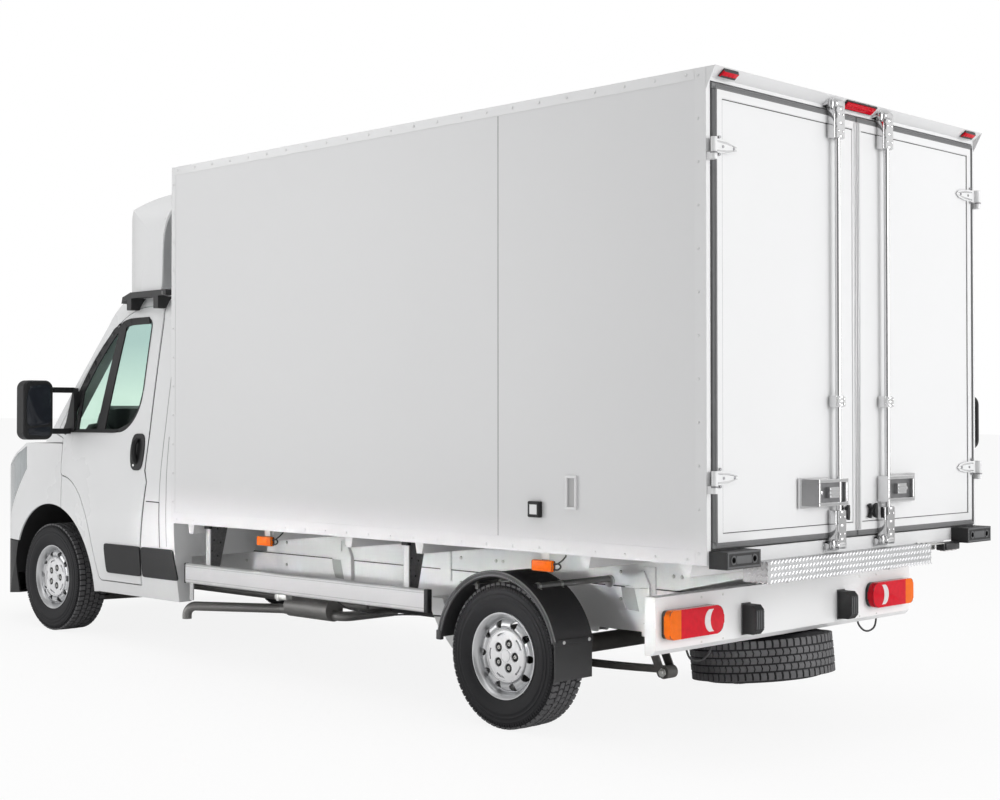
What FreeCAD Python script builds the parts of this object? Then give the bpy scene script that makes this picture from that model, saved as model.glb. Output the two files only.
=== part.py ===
import FreeCAD, Part
import Sketcher
import math
import os

# Refrigerated truck: long chassis cab with an insulated box, millimetres.
# Pieces on springs are drawn level in the body frame: X to the vehicle's left, Y to the rear from
# the front axle, Z up from the road under the rear axle. The unladen truck stands nose down, so
# each of them then gets one turn about the rear axle line. Wheels, hubs and the rear axle stay level.

SIZES = {
    # running gear
    "wheelbase": 4035,
    "front_axle_shift": -2222,
    "rake_angle": 1.295,
    "rake_pivot_height": 350,
    "tyre_diameter": 682,
    "tyre_width": 215,
    "tread_width": 176,
    "rim_flange_diameter": 415.6,
    "rim_width": 190,
    "rim_wall": 7,
    "disc_offset": 42,
    "disc_thickness": 8,
    "vent_circle_radius": 128,
    "vent_radius": 15,
    "vent_count": 10,
    "hub_bore_radius": 30,
    "hub_boss_radius": 76,
    "hub_boss_depth": 34,
    "cap_radius": 82,
    "wheel_bolt_circle": 130,
    "wheel_bolt_radius": 9,
    "wheel_bolt_count": 5,
    "front_track": 1810,
    "rear_track": 1790,
    "stub_radius": 29.7,
    "running_gap": 0.3,
    "brake_disc_radius": 150,
    "brake_disc_thickness": 24,
    "kingpin_foot_x": 800,
    "kingpin_foot_z": 205,
    "ball_z": 187,
    "foot_lift": 16,
    "ball_radius": 15,
    "kingpin_head_x": 664,
    "kingpin_head_z": 790,
    "strut_radius": 26,
    "spring_coil_radius": 55,
    "rear_axle_radius": 46,
    "drum_radius": 140,
    "drum_width": 58,
    # chassis
    "rail_inner": 380,
    "rail_outer": 450,
    "rail_bottom": 440,
    "rail_top": 640,
    "rail_front": -560,
    "rail_rear": 4900,
    "rail_wall": 6,
    "cross_count": 5,
    "cross_first": 1620,
    "cross_pitch": 795,
    "cross_depth": 60,
    "cross_margin": 40,
    "subframe_front": 1530,
    "subframe_taper": 4600,
    "subframe_taper_end": 5010,
    "subframe_tail_height": 60,
    "bearer_depth": 64,
    "bearer_height": 60,
    "bearer_inset": 75,
    "spring_x": 530,
    "spring_width": 70,
    "spring_leaf": 13,
    "spring_camber": 34,
    "spring_front_eye_y": 3310,
    "spring_rear_eye_y": 4650,
    "spring_eye_z": 285,
    "spring_eye_radius": 30,
    "tank_length": 640,
    "tank_front": 2485,
    "tank_half_width": 330,
    "tank_height": 270,
    "tank_round": 60,
    "exhaust_z": 350,
    "pipe_radius": 27,
    "silencer_x": 600,
    "silencer_front": 1960,
    "silencer_length": 380,
    "silencer_radius": 62,
    "silencer_lift": 28,
    "spare_x": -135,
    "spare_y": 4700,
    "spare_z": 298,
    "spare_tilt": 6,
    "underrun_y": 4984,
    "underrun_half_width": 1035,
    "underrun_bottom": 450,
    "underrun_top": 690,
    "underrun_sheet": 8,
    "underrun_flange": 58,
    "lamp_inner": 614,
    "lamp_outer": 993,
    "lamp_bottom": 510,
    "lamp_top": 632,
    "lamp_depth": 46,
    "guard_front": 1470,
    "guard_rear": 3530,
    "guard_bottom": 500,
    "guard_top": 612,
    "guard_x": 972,
    "guard_thickness": 26,
    "mudguard_radius": 388,
    "mudguard_wall": 8,
    "mudguard_inner_x": 770,
    "mudguard_outer_x": 1030,
    "mudguard_z": 345,
    "flap_length": 175,
    # insulated box
    "box_half_width": 1111,
    "box_front": 1500,
    "box_length": 3815,
    "box_bottom": 851,
    "box_height": 2034,
    "box_wall": 60,
    "box_floor_thickness": 84,
    "frame_depth": 60,
    "frame_post": 26,
    "frame_header": 53,
    "frame_sill": 59,
    "header_reach": 48,
    "header_slant": 91,
    "door_gap": 6,
    "door_thickness": 63,
    "door_proud": 12,
    "gasket_width": 26,
    "gasket_recess": 10,
    "meeting_gap": 6,
    "hinge_pin_x": 1097,
    "hinge_pin_reach": 29,
    "hinge_pin_radius": 8,
    "hinge_barrel_radius": 13,
    "hinge_height": 92,
    "hinge_low_z": 1190,
    "hinge_high_z": 2550,
    "hinge_strap_reach": 190,
    "hinge_strap": 5,
    "rod_x": 205,
    "rod_radius": 13,
    "rod_stand_off": 30,
    "paddle_width": 196,
    "paddle_depth": 56,
    "rod_mid_z": 1525,
    "paddle_height": 118,
    "paddle_z": 1124,
    "step_left": 810,
    "step_right": -520,
    "step_height": 86,
    "step_depth": 85,
    "sill_buffer_inner": 865,
    "sill_buffer_outer": 1098,
    "sill_buffer_height": 72,
    "sill_buffer_depth": 90,
    "handle_inset": 29,
    "handle_low": 1290,
    "handle_high": 1566,
    "handle_reach": 74,
    # cab
    "cab_rear": 1400,
    "cab_wall": 50,
    "sheet_wall": 10,
    "sill_height": 380,
    "sill_inner": 900,
    "bonnet_pin_y": -338,
    "bonnet_pin_z": 1236,
    "screen_base_y": -310,
    "screen_base_z": 1300,
    "screen_slope": 50,
    "screen_radius": 3000,
    "screen_glass": 8,
    "screen_margin": 62,
    "door_glass": 5,
    "door_glass_inset": 12,
    "roof_seam": 2148,
    "fairing_foot": 2218,
    "arch_radius": 472,
    "arch_y": 8,
    "arch_z": 430,
    "fender_rear": 150,
    "bumper_top": 640,
    "bonnet_half_width": 690,
    "panel_gap": 6.4,
    "cab_floor_thickness": 40,
    "firewall_y": -60,
    "firewall_thickness": 30,
    "wheelhouse_x": 570,
    "liner_wall": 5,
    "engine_half_width": 330,
    "engine_front": -480,
    "engine_rear": -100,
    "engine_bottom": 392,
    "engine_top": 1000,
    "seat_base_z": 900,
    "seat_half_width": 235,
    "driver_seat_x": 530,
    "mirror_x": 1125,
    "mirror_width": 205,
    "mirror_height": 370,
    "mirror_depth": 95,
    "mirror_y": 130,
    "mirror_z": 1500,
}


class Size:
    """A number together with the sheet expression that gives it."""

    def __init__(self, text, number):
        self.text = text
        self.number = float(number)

    def __float__(self):
        return self.number

    def __neg__(self):
        return Size("(-1 * %s)" % self.text, -self.number)

    def __add__(self, other):
        other = size(other)
        return Size("(%s + %s)" % (self.text, other.text), self.number + other.number)

    def __sub__(self, other):
        other = size(other)
        return Size("(%s - %s)" % (self.text, other.text), self.number - other.number)

    def __mul__(self, other):
        other = size(other)
        return Size("(%s * %s)" % (self.text, other.text), self.number * other.number)

    def __truediv__(self, other):
        other = size(other)
        return Size("(%s / %s)" % (self.text, other.text), self.number / other.number)

    def __radd__(self, other):
        return size(other) + self

    def __rsub__(self, other):
        return size(other) - self

    def __rmul__(self, other):
        return size(other) * self


def size(value):
    """Any number as a Size."""
    if isinstance(value, Size):
        return value
    return Size(repr(float(value)), value)


class Names:
    """Holds the sheet's sizes as attributes."""


doc = FreeCAD.newDocument("refrigerated_truck")
V = FreeCAD.Vector
s = Names()
v = Names()
nodes = []


def write_sheet():
    """One row per driving size: its name, and its plain number under that alias."""
    sheet = doc.addObject("Spreadsheet::Sheet", "Sizes")
    for row, (name, number) in enumerate(SIZES.items(), start=1):
        sheet.set("A%d" % row, name)
        sheet.set("B%d" % row, str(number))
        sheet.setAlias("B%d" % row, name)
        setattr(s, name, Size("Sizes.%s" % name, number))
    doc.recompute()
    for name in SIZES:
        setattr(v, name, float(getattr(sheet, name)))


def bind(thing, path, value):
    """Ties one property of an object to the sheet."""
    thing.setExpression(path, size(value).text)


def place(thing, x, y, z):
    """Binds an object's local place."""
    bind(thing, "Placement.Base.x", x)
    bind(thing, "Placement.Base.y", y)
    bind(thing, "Placement.Base.z", z)
    return thing


def block(label, x, y, z):
    """A box from pairs of limits along each axis."""
    box = doc.addObject("Part::Box", label)
    bind(box, "Length", x[1] - size(x[0]))
    bind(box, "Width", y[1] - size(y[0]))
    bind(box, "Height", z[1] - size(z[0]))
    return place(box, x[0], y[0], z[0])


TURNS = {
    "x": FreeCAD.Rotation(V(0, 1, 0), 90),
    "y": FreeCAD.Rotation(V(1, 0, 0), -90),
    "z": FreeCAD.Rotation(),
}


def rod(label, start, length, radius, axis="x"):
    """A cylinder that runs from start along +axis."""
    bar = doc.addObject("Part::Cylinder", label)
    bar.Placement = FreeCAD.Placement(V(), TURNS[axis])
    bind(bar, "Radius", radius)
    bind(bar, "Height", length)
    return place(bar, *start)


def join(label, *pieces):
    """One solid from pieces that touch or overlap."""
    whole = doc.addObject("Part::MultiFuse", label)
    whole.Shapes = list(pieces)
    whole.Refine = True
    return whole


def group(label, *pieces):
    """Solids that stay apart but share a node."""
    whole = doc.addObject("Part::Compound", label)
    whole.Links = list(pieces)
    return whole


def carve(label, base, *tools):
    """Base without the tools."""
    cut = doc.addObject("Part::Cut", label)
    cut.Base = base
    cut.Tool = tools[0] if len(tools) == 1 else group(label + "_tools", *tools)
    return cut


def mirrored(piece):
    """The same piece on the other side of the truck."""
    twin = doc.addObject("Part::Mirroring", piece.Name + "_twin")
    twin.Source = piece
    twin.Normal = V(1, 0, 0)
    return twin


def solid(label, shape):
    """A shape worked out from the sheet's values."""
    feature = doc.addObject("Part::Feature", label)
    feature.Shape = shape
    return feature


PLANES = {"YZ": "YZ_Plane", "XZ": "XZ_Plane", "XY": "XY_Plane"}


def sketch_on(body, plane, offset):
    """A sketch on one of the body's own planes, moved along its normal."""
    sketch = body.newObject("Sketcher::SketchObject", body.Name + "_sketch")
    origin_plane = [f for f in body.Origin.OriginFeatures if f.Role == PLANES[plane]][0]
    sketch.AttachmentSupport = (origin_plane, [""])
    sketch.MapMode = "FlatFace"
    bind(sketch, "AttachmentOffset.Base.z", offset)
    return sketch


def polygon(sketch, points):
    """A closed outline whose every corner is bound to the sheet."""
    corners = [V(float(a), float(b), 0) for a, b in points]
    for corner, after in zip(corners, corners[1:] + corners[:1]):
        sketch.addGeometry(Part.LineSegment(corner, after), False)
    for index in range(len(corners)):
        following = (index + 1) % len(corners)
        sketch.addConstraint(Sketcher.Constraint("Coincident", index, 2, following, 1))
    for index, (a, b) in enumerate(points):
        for kind, value in (("DistanceX", a), ("DistanceY", b)):
            number = sketch.addConstraint(
                Sketcher.Constraint(kind, -1, 1, index, 1, float(value))
            )
            sketch.setExpression("Constraints[%d]" % number, size(value).text)


def prism(label, plane, points, span, rounds=()):
    """A profile pushed from span[0] to span[1] along the plane's axis, its corners rounded."""
    body = doc.addObject("PartDesign::Body", label)
    points = [(size(a), size(b)) for a, b in points]
    low, high = size(span[0]), size(span[1])
    sketch = sketch_on(body, plane, -high if plane == "XZ" else low)
    polygon(sketch, points)
    pad = body.newObject("PartDesign::Pad", label + "_pad")
    pad.Profile = sketch
    bind(pad, "Length", high - low)
    for radius, indexes in rounds:
        doc.recompute()
        tip = body.Tip
        wanted = [points[index] for index in indexes]
        fillet = body.newObject("PartDesign::Fillet", label + "_round")
        fillet.Base = (tip, edges_at(tip.Shape, plane, wanted))
        bind(fillet, "Radius", radius)
    return body


def edges_at(shape, plane, corners):
    """Names of the edges that stand on the given corners of a profile."""
    pick = {"YZ": (1, 2), "XZ": (0, 2), "XY": (0, 1)}[plane]
    names = []
    for number, edge in enumerate(shape.Edges, start=1):
        ends = [vertex.Point for vertex in edge.Vertexes]
        for a, b in corners:
            near = [abs(p[pick[0]] - float(a)) + abs(p[pick[1]] - float(b)) < 0.01 for p in ends]
            if len(near) == 2 and all(near):
                names.append("Edge%d" % number)
    return names


def spun(label, points, base_x):
    """A ring or disc turned about the X axis, its outline in (x, radius) pairs."""
    body = doc.addObject("PartDesign::Body", label)
    sketch = sketch_on(body, "XY", 0)
    polygon(sketch, [(size(a) + base_x, b) for a, b in points])
    turn = body.newObject("PartDesign::Revolution", label + "_turn")
    turn.Profile = sketch
    turn.ReferenceAxis = (sketch, ["H_Axis"])
    turn.Angle = 360
    return body


def node(label, piece, sprung=True):
    """Names a finished sub-part and puts it in the truck's frame."""
    if piece.TypeId in ("Part::Box", "Part::Cylinder"):
        piece = group(label + "_node", piece)
    piece.Label = label
    if sprung:
        angle = s.rake_angle
        turn_y = "%s * (1 - cos(%s * 1 deg)) + %s * sin(%s * 1 deg)" % (
            s.wheelbase.text, angle.text, s.rake_pivot_height.text, angle.text)
        turn_z = "%s * (1 - cos(%s * 1 deg)) - %s * sin(%s * 1 deg)" % (
            s.rake_pivot_height.text, angle.text, s.wheelbase.text, angle.text)
        piece.Placement = FreeCAD.Placement(V(), FreeCAD.Rotation(V(1, 0, 0), v.rake_angle))
        piece.setExpression("Placement.Rotation.Angle", angle.text)
        piece.setExpression("Placement.Base.y", "%s + %s" % (s.front_axle_shift.text, turn_y))
        piece.setExpression("Placement.Base.z", turn_z)
    else:
        bind(piece, "Placement.Base.y", s.front_axle_shift)
    nodes.append(piece)
    return piece


# Wheels


def tyre_outline():
    """Half section of the tyre: bead, bulged wall and a plain tread."""
    half = s.tyre_width / 2
    outer = s.tyre_diameter / 2
    bead = s.rim_flange_diameter / 2 - 4
    left = [
        (-half + 11, bead),
        (-half, bead + (outer - bead) * 0.5),
        (-s.tread_width / 2, outer),
    ]
    return left + [(-a, b) for a, b in reversed(left)]


def tyre(label, centre_x):
    return spun(label, tyre_outline(), centre_x)


def rim_outline(side):
    """Section of the rim: inner flange, drop centre, outer flange, dished disc and hub boss."""
    half = s.rim_width / 2
    flange = s.rim_flange_diameter / 2 - 4.3
    seat = flange - 16
    well = flange - 38
    wall = s.rim_wall
    face = s.disc_offset
    outer = [
        (-half, flange),
        (-half + 12, seat),
        (-half + 46, well),
        (12, well),
        (half - 12, seat),
        (half, flange),
        (half, flange - wall),
        (half - 20, seat - wall),
        (face + 26, s.vent_circle_radius + 30),
        (face + 36, s.vent_circle_radius - 6),
        (face + 22, s.cap_radius + 8),
        (face + 20, s.hub_bore_radius),
        (face + 20 - s.hub_boss_depth, s.hub_bore_radius),
        (face + 20 - s.hub_boss_depth, s.hub_boss_radius),
        (face + 26, s.vent_circle_radius - 8),
        (face + 18, s.vent_circle_radius + 26),
        (12, well - wall),
        (-half + 46, well - wall),
        (-half, flange - wall),
    ]
    return [(a * side, b) for a, b in outer]


def polar(body, label, feature, count):
    """Repeats a pocket about the X axis of its own body."""
    pattern = body.newObject("PartDesign::PolarPattern", label)
    pattern.Originals = [feature]
    axis = [f for f in body.Origin.OriginFeatures if f.Role == "X_Axis"][0]
    pattern.Axis = (axis, [""])
    pattern.Angle = 360
    bind(pattern, "Occurrences", count)
    body.Tip = pattern
    return pattern


def ring_of_holes(body, label, circle, radius, low, high, count):
    """Round holes through the disc between two planes square to the axle."""
    doc.recompute()
    sketch = sketch_on(body, "YZ", high)
    middle = V(0, float(circle), 0)
    sketch.addGeometry(Part.Circle(middle, V(0, 0, 1), float(radius)), False)
    sketch.addConstraint(Sketcher.Constraint("PointOnObject", 0, 3, -2))
    up = sketch.addConstraint(Sketcher.Constraint("DistanceY", -1, 1, 0, 3, float(circle)))
    across = sketch.addConstraint(Sketcher.Constraint("Radius", 0, float(radius)))
    sketch.setExpression("Constraints[%d]" % up, size(circle).text)
    sketch.setExpression("Constraints[%d]" % across, size(radius).text)
    pocket = body.newObject("PartDesign::Pocket", label)
    pocket.Profile = sketch
    bind(pocket, "Length", high - low)
    doc.recompute()
    return polar(body, label + "_ring", pocket, count)


def rim(label, centre_x, side):
    """Steel wheel with its vent holes and bolt recesses; side is 1 on the left, -1 on the right."""
    body = spun(label, rim_outline(side), centre_x)
    face = s.disc_offset * side + centre_x
    reach = 60
    ring_of_holes(body, label + "_vents", s.vent_circle_radius, s.vent_radius,
                  face - reach, face + reach, s.vent_count)
    bolt_face = (s.disc_offset + 20) * side + centre_x
    low, high = (bolt_face - 9, bolt_face + 30) if side > 0 else (bolt_face - 30, bolt_face + 9)
    ring_of_holes(body, label + "_bolts", s.wheel_bolt_circle / 2, s.wheel_bolt_radius,
                  low, high, s.wheel_bolt_count)
    return body


def wheels():
    """Four road wheels, each a tyre on its rim."""
    corners = (
        ("front_left", s.front_track / 2, 0, 1),
        ("front_right", -s.front_track / 2, 0, -1),
        ("rear_left", s.rear_track / 2, s.wheelbase, 1),
        ("rear_right", -s.rear_track / 2, s.wheelbase, -1),
    )
    for corner, x, y, side in corners:
        for label, piece in (
            ("tyre_" + corner, tyre("tyre_" + corner, x)),
            ("rim_" + corner, rim("rim_" + corner, x, side)),
        ):
            node(label, piece, sprung=False)
            bind(piece, "Placement.Base.y", s.front_axle_shift + y)
            bind(piece, "Placement.Base.z", s.tyre_diameter / 2)


def leaning(label, start, end, radius):
    """A round bar between two points of the x-z plane of the front axle."""
    first = V(float(start[0]), 0, float(start[1]))
    last = V(float(end[0]), 0, float(end[1]))
    return solid(label, Part.makeCylinder(float(radius), (last - first).Length, first, last - first))


def kingpin_x(z):
    """Distance of the steering axis from the middle at a height."""
    lean = (v.kingpin_foot_x - v.kingpin_head_x) / (v.kingpin_head_z - v.kingpin_foot_z)
    return v.kingpin_foot_x + (v.kingpin_foot_z - z) * lean


def knuckle(side):
    """Hub carrier with its stub axle, strut and coil spring along the steering axis."""
    name = "left" if side > 0 else "right"
    foot = (s.kingpin_foot_x * side, s.kingpin_foot_z)
    head = (s.kingpin_head_x * side, s.kingpin_head_z)
    share = 0.38
    middle = (foot[0] * (1 - share) + head[0] * share, foot[1] * (1 - share) + head[1] * share)
    hub_z = s.tyre_diameter / 2
    disc_face = s.front_track / 2 + s.disc_offset + 20 - s.hub_boss_depth
    carrier = prism("carrier_" + name, "XZ", [
        ((s.kingpin_foot_x - 40) * side, s.kingpin_foot_z + s.foot_lift),
        ((s.kingpin_foot_x + 22) * side, s.kingpin_foot_z + s.foot_lift),
        ((s.kingpin_foot_x + 10) * side, hub_z + 62),
        ((s.kingpin_foot_x - 50) * side, hub_z + 110),
        ((s.kingpin_foot_x - 108) * side, hub_z + 110),
        ((s.kingpin_foot_x - 60) * side, hub_z - 40),
    ], (-46, 46))
    stub_end = s.front_track / 2 + s.disc_offset + 20
    reach = (s.kingpin_foot_x - 20, stub_end)
    span = (reach[0] * side, reach[1] * side) if side > 0 else (reach[1] * side, reach[0] * side)
    stub = rod("stub_" + name, (span[0], size(0), hub_z), span[1] - span[0], s.stub_radius)
    flange_span = (s.kingpin_foot_x, disc_face - s.brake_disc_thickness - 4)
    low = flange_span[0] * side if side > 0 else flange_span[1] * side
    flange = rod("hub_flange_" + name, (low, size(0), hub_z), flange_span[1] - flange_span[0], 52)
    strut = leaning("strut_" + name, middle, head, v.strut_radius)
    coil_start = (foot[0] * 0.36 + head[0] * 0.64, foot[1] * 0.36 + head[1] * 0.64)
    coil = leaning("coil_" + name, coil_start, head, v.spring_coil_radius)
    ball_x = kingpin_x(v.ball_z) * side
    ball = solid("ball_" + name, Part.makeSphere(v.ball_radius, V(ball_x, 0, v.ball_z)))
    neck_top = v.kingpin_foot_z + v.foot_lift + 14
    neck = leaning("neck_" + name, (ball_x, v.ball_z), (kingpin_x(neck_top) * side, neck_top),
                   v.ball_radius * 0.6)
    whole = join("knuckle_" + name, carrier, stub, flange, strut, coil, ball, neck)
    return node("knuckle_" + name, whole, sprung=False)


def rear_axle():
    """Beam axle with a drum and a stub at each end."""
    hub_z = s.tyre_diameter / 2
    face = s.rear_track / 2 + s.disc_offset + 20 - s.hub_boss_depth
    tube = rod("beam", (-face + 40, s.wheelbase, hub_z), (face - 40) * 2, s.rear_axle_radius)
    pieces = [tube]
    for side, name in ((1, "left"), (-1, "right")):
        drum_low = (face - s.drum_width - 4) if side > 0 else -(face - 4)
        pieces.append(rod("drum_" + name, (drum_low, s.wheelbase, hub_z), s.drum_width,
                          s.drum_radius))
        stub_reach = s.hub_boss_depth + 40
        low = (face - 40) if side > 0 else -(face - 40 + stub_reach)
        pieces.append(rod("rear_stub_" + name, (low, s.wheelbase, hub_z), stub_reach,
                          s.stub_radius))
        pad_x = (s.spring_x - s.spring_width / 2) if side > 0 else -(s.spring_x + s.spring_width / 2)
        pieces.append(block("spring_seat_" + name, (pad_x, pad_x + s.spring_width),
                            (s.wheelbase - 70, s.wheelbase + 70),
                            (hub_z - s.rear_axle_radius - 4, hub_z)))
    return node("rear_axle", join("rear_axle", *pieces), sprung=False)


# Chassis


def channel(label, side):
    """One side rail, an open channel facing inwards."""
    low, high = (s.rail_inner, s.rail_outer) if side > 0 else (-s.rail_outer, -s.rail_inner)
    web = (low, high - s.rail_wall) if side > 0 else (low + s.rail_wall, high)
    outside = block(label + "_outside", (low, high), (s.rail_front, s.rail_rear),
                    (s.rail_bottom, s.rail_top))
    inside = block(label + "_inside", web, (s.rail_front - 1, s.rail_rear + 1),
                   (s.rail_bottom + s.rail_wall, s.rail_top - s.rail_wall))
    return carve(label, outside, inside)


def spring_hanger():
    """Pressed bracket that drops from the rail to the spring's front eye."""
    eye_y = s.spring_front_eye_y
    eye_z = s.spring_eye_z
    outline = [
        (eye_y - 250, s.rail_top - 130),
        (eye_y - 120, s.rail_top - 130),
        (eye_y - 70, eye_z + 90),
        (eye_y + 34, eye_z + 18),
        (eye_y + 34, eye_z - 34),
        (eye_y - 40, eye_z - 34),
        (eye_y - 150, eye_z + 70),
    ]
    plates = []
    for number, low in enumerate((s.spring_x - s.spring_width / 2 - 9,
                                  s.spring_x + s.spring_width / 2 + 3)):
        plates.append(prism("hanger_plate_%d" % number, "YZ", outline, (low, low + 6),
                            [(60, (2, 6)), (16, (3, 4, 5))]))
    arm = block("hanger_arm", (s.rail_outer - 2, s.spring_x + s.spring_width / 2 + 9),
                (eye_y - 240, eye_y - 130), (s.rail_top - 160, s.rail_top - 130))
    pin = rod("hanger_pin", (s.spring_x - s.spring_width / 2 - 12, eye_y, eye_z),
              s.spring_width + 24, 9)
    return join("spring_hanger", *plates, arm, pin)


def chassis_rails():
    """Two channel rails with the front spring hangers and the rear shackle outriggers."""
    hanger = spring_hanger()
    outrigger = block("shackle_outrigger",
                      (s.rail_outer - 2, s.spring_x + s.spring_width / 2 + 9),
                      (s.spring_rear_eye_y - 120, s.spring_rear_eye_y - 50),
                      (s.rail_bottom, s.rail_bottom + 60))
    left = join("left_rail", channel("rail_left", 1), hanger, outrigger)
    right = join("right_rail", channel("rail_right", -1), mirrored(hanger), mirrored(outrigger))
    return node("chassis_rails", group("rails", left, right))


def crossmembers():
    """Tubes between the rails' webs."""
    web = s.rail_outer - s.rail_wall
    pieces = []
    for number in range(int(v.cross_count)):
        y = s.cross_first + s.cross_pitch * number
        pieces.append(block("cross_%d" % number, (-web, web), (y, y + s.cross_depth),
                            (s.rail_bottom + s.cross_margin, s.rail_top - s.cross_margin)))
    pieces.append(block("front_cross", (-web, web), (s.rail_front, s.rail_front + 70),
                        (s.rail_bottom + 20, s.rail_top - 20)))
    return node("crossmembers", group("cross_set", *pieces))


def leaf_springs():
    """A curved leaf each side with eyes at both ends and a shackle at the rear."""
    front, rear = v.spring_front_eye_y, v.spring_rear_eye_y
    axle_y = v.wheelbase
    low_x = v.spring_x - v.spring_width / 2
    under = v.tyre_diameter / 2 - v.rear_axle_radius - 6.4
    eye = v.spring_eye_z
    radius = v.spring_eye_radius
    top = [V(low_x, front, eye + radius - 6), V(low_x, axle_y, under),
           V(low_x, rear, eye + radius - 6)]
    drop = V(0, 0, -v.spring_leaf * 2)
    bottom = [point + drop for point in top]
    edges = [
        Part.Arc(*top).toShape(),
        Part.LineSegment(top[2], bottom[2]).toShape(),
        Part.Arc(*reversed(bottom)).toShape(),
        Part.LineSegment(bottom[0], top[0]).toShape(),
    ]
    leaf = Part.Face(Part.Wire(edges)).extrude(V(v.spring_width, 0, 0))
    for y in (front, rear):
        eye_rod = Part.makeCylinder(radius, v.spring_width, V(low_x, y, eye), V(1, 0, 0))
        leaf = leaf.fuse(eye_rod)
    front_pin = Part.makeCylinder(9.3, v.spring_width, V(low_x, front, eye), V(1, 0, 0))
    leaf = leaf.cut(front_pin)
    spring = solid("leaf_left", leaf.removeSplitter())
    plates = []
    for number, low in enumerate((s.spring_x - s.spring_width / 2 - 8,
                                  s.spring_x + s.spring_width / 2)):
        plates.append(prism("shackle_%d" % number, "YZ", [
            (s.spring_rear_eye_y - 24, s.spring_eye_z - 24),
            (s.spring_rear_eye_y + 24, s.spring_eye_z - 24),
            (s.spring_rear_eye_y - 60, s.rail_bottom - 0.3),
            (s.spring_rear_eye_y - 108, s.rail_bottom - 0.3),
        ], (low, low + 8), [(18, (0, 1))]))
    whole = join("spring_set", spring, *plates)
    return node("leaf_springs", group("leaf_springs", whole, mirrored(whole)))


def subframe_beams():
    """Steel longitudinals of the box on the rails, bolted down with plates."""
    top = s.box_bottom - s.bearer_height
    tail = s.box_front + s.box_length - s.frame_depth
    beam = prism("side_beam", "YZ", [
        (s.subframe_front, s.rail_top),
        (s.subframe_taper, s.rail_top),
        (s.subframe_taper_end, top - s.subframe_tail_height),
        (tail, top - s.subframe_tail_height),
        (tail, top),
        (s.subframe_front, top),
    ], (s.rail_inner + 10, s.rail_outer))
    plates = [block("tie_plate_%d" % number, (s.rail_outer, s.rail_outer + 8), (y, y + 78),
                    (s.rail_top - 50, s.rail_top + 110))
              for number, y in enumerate((2150, 3050, 4440))]
    whole = join("beam_set", beam, *plates)
    return node("subframe_beams", group("beams", whole, mirrored(whole)))


def cross_bearers():
    """Hat-section bearers on the beams, out to the walls of the box."""
    reach = s.box_half_width - s.bearer_inset
    low, high = s.box_bottom - s.bearer_height, s.box_bottom
    pieces = []
    for number, y in enumerate((1560, 2300, 2950, 3480, 4560, 5120)):
        pieces.append(prism("bearer_%d" % number, "YZ", [
            (y, high),
            (y + 14, low),
            (y + s.bearer_depth - 14, low),
            (y + s.bearer_depth, high),
        ], (-reach, reach)))
    return node("cross_bearers", group("bearers", *pieces))


def underrun_bar():
    """Folded steel bar under the tail, with turned ends and arms to the rails."""
    y = s.underrun_y
    sheet = s.underrun_sheet
    outline = [
        (y, s.underrun_bottom + 14),
        (y, s.underrun_top),
        (y - s.underrun_flange, s.underrun_top),
        (y - s.underrun_flange, s.underrun_top - sheet),
        (y - sheet, s.underrun_top - sheet),
        (y - sheet, s.underrun_bottom + 14),
        (y - sheet - 28, s.underrun_bottom),
        (y - sheet - 28, s.underrun_bottom - sheet),
        (y - 24, s.underrun_bottom - sheet),
    ]
    bar = prism("bar_profile", "YZ", outline, (-s.underrun_half_width, s.underrun_half_width))
    end = prism("bar_end", "YZ", [
        (y, s.underrun_bottom + 14),
        (y, s.underrun_top),
        (y - s.underrun_flange, s.underrun_top),
        (y - s.underrun_flange, s.underrun_bottom - sheet),
        (y - 24, s.underrun_bottom - sheet),
    ], (s.underrun_half_width - sheet, s.underrun_half_width), [(20, (2,))])
    arm = block("bar_arm", (s.rail_inner, s.rail_outer),
                (s.rail_rear, y - sheet), (s.rail_bottom + 20, s.rail_top))
    whole = join("underrun_bar", bar, end, mirrored(end), arm, mirrored(arm))
    return node("underrun_bar", whole)


def rear_buffers():
    """Rubber blocks on the bar and on the corners of the sill."""
    half = 30
    bar_block = prism("bar_buffer", "YZ", [
        (s.underrun_y, 480),
        (s.underrun_y + 62, 480),
        (s.underrun_y + 80, 500),
        (s.underrun_y + 80, 592),
        (s.underrun_y + 62, 612),
        (s.underrun_y, 612),
    ], (s.rail_outer - 60 - half, s.rail_outer - 60 + half))
    rear = s.box_front + s.box_length
    middle = (s.box_bottom + s.frame_sill / 2) - 6
    sill_block = block("sill_buffer", (s.sill_buffer_inner, s.sill_buffer_outer),
                       (rear, rear + s.sill_buffer_depth),
                       (middle - s.sill_buffer_height / 2, middle + s.sill_buffer_height / 2))
    holes = [rod("buffer_hole_%d" % n, (x, rear + s.sill_buffer_depth - 30, middle), 40, 13, "y")
             for n, x in enumerate((s.sill_buffer_inner + 45, s.sill_buffer_outer - 45))]
    corner = carve("sill_buffer_bored", sill_block, *holes)
    whole = group("rear_buffers", bar_block, mirrored(bar_block), corner, mirrored(corner))
    return node("rear_buffers", whole)


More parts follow.
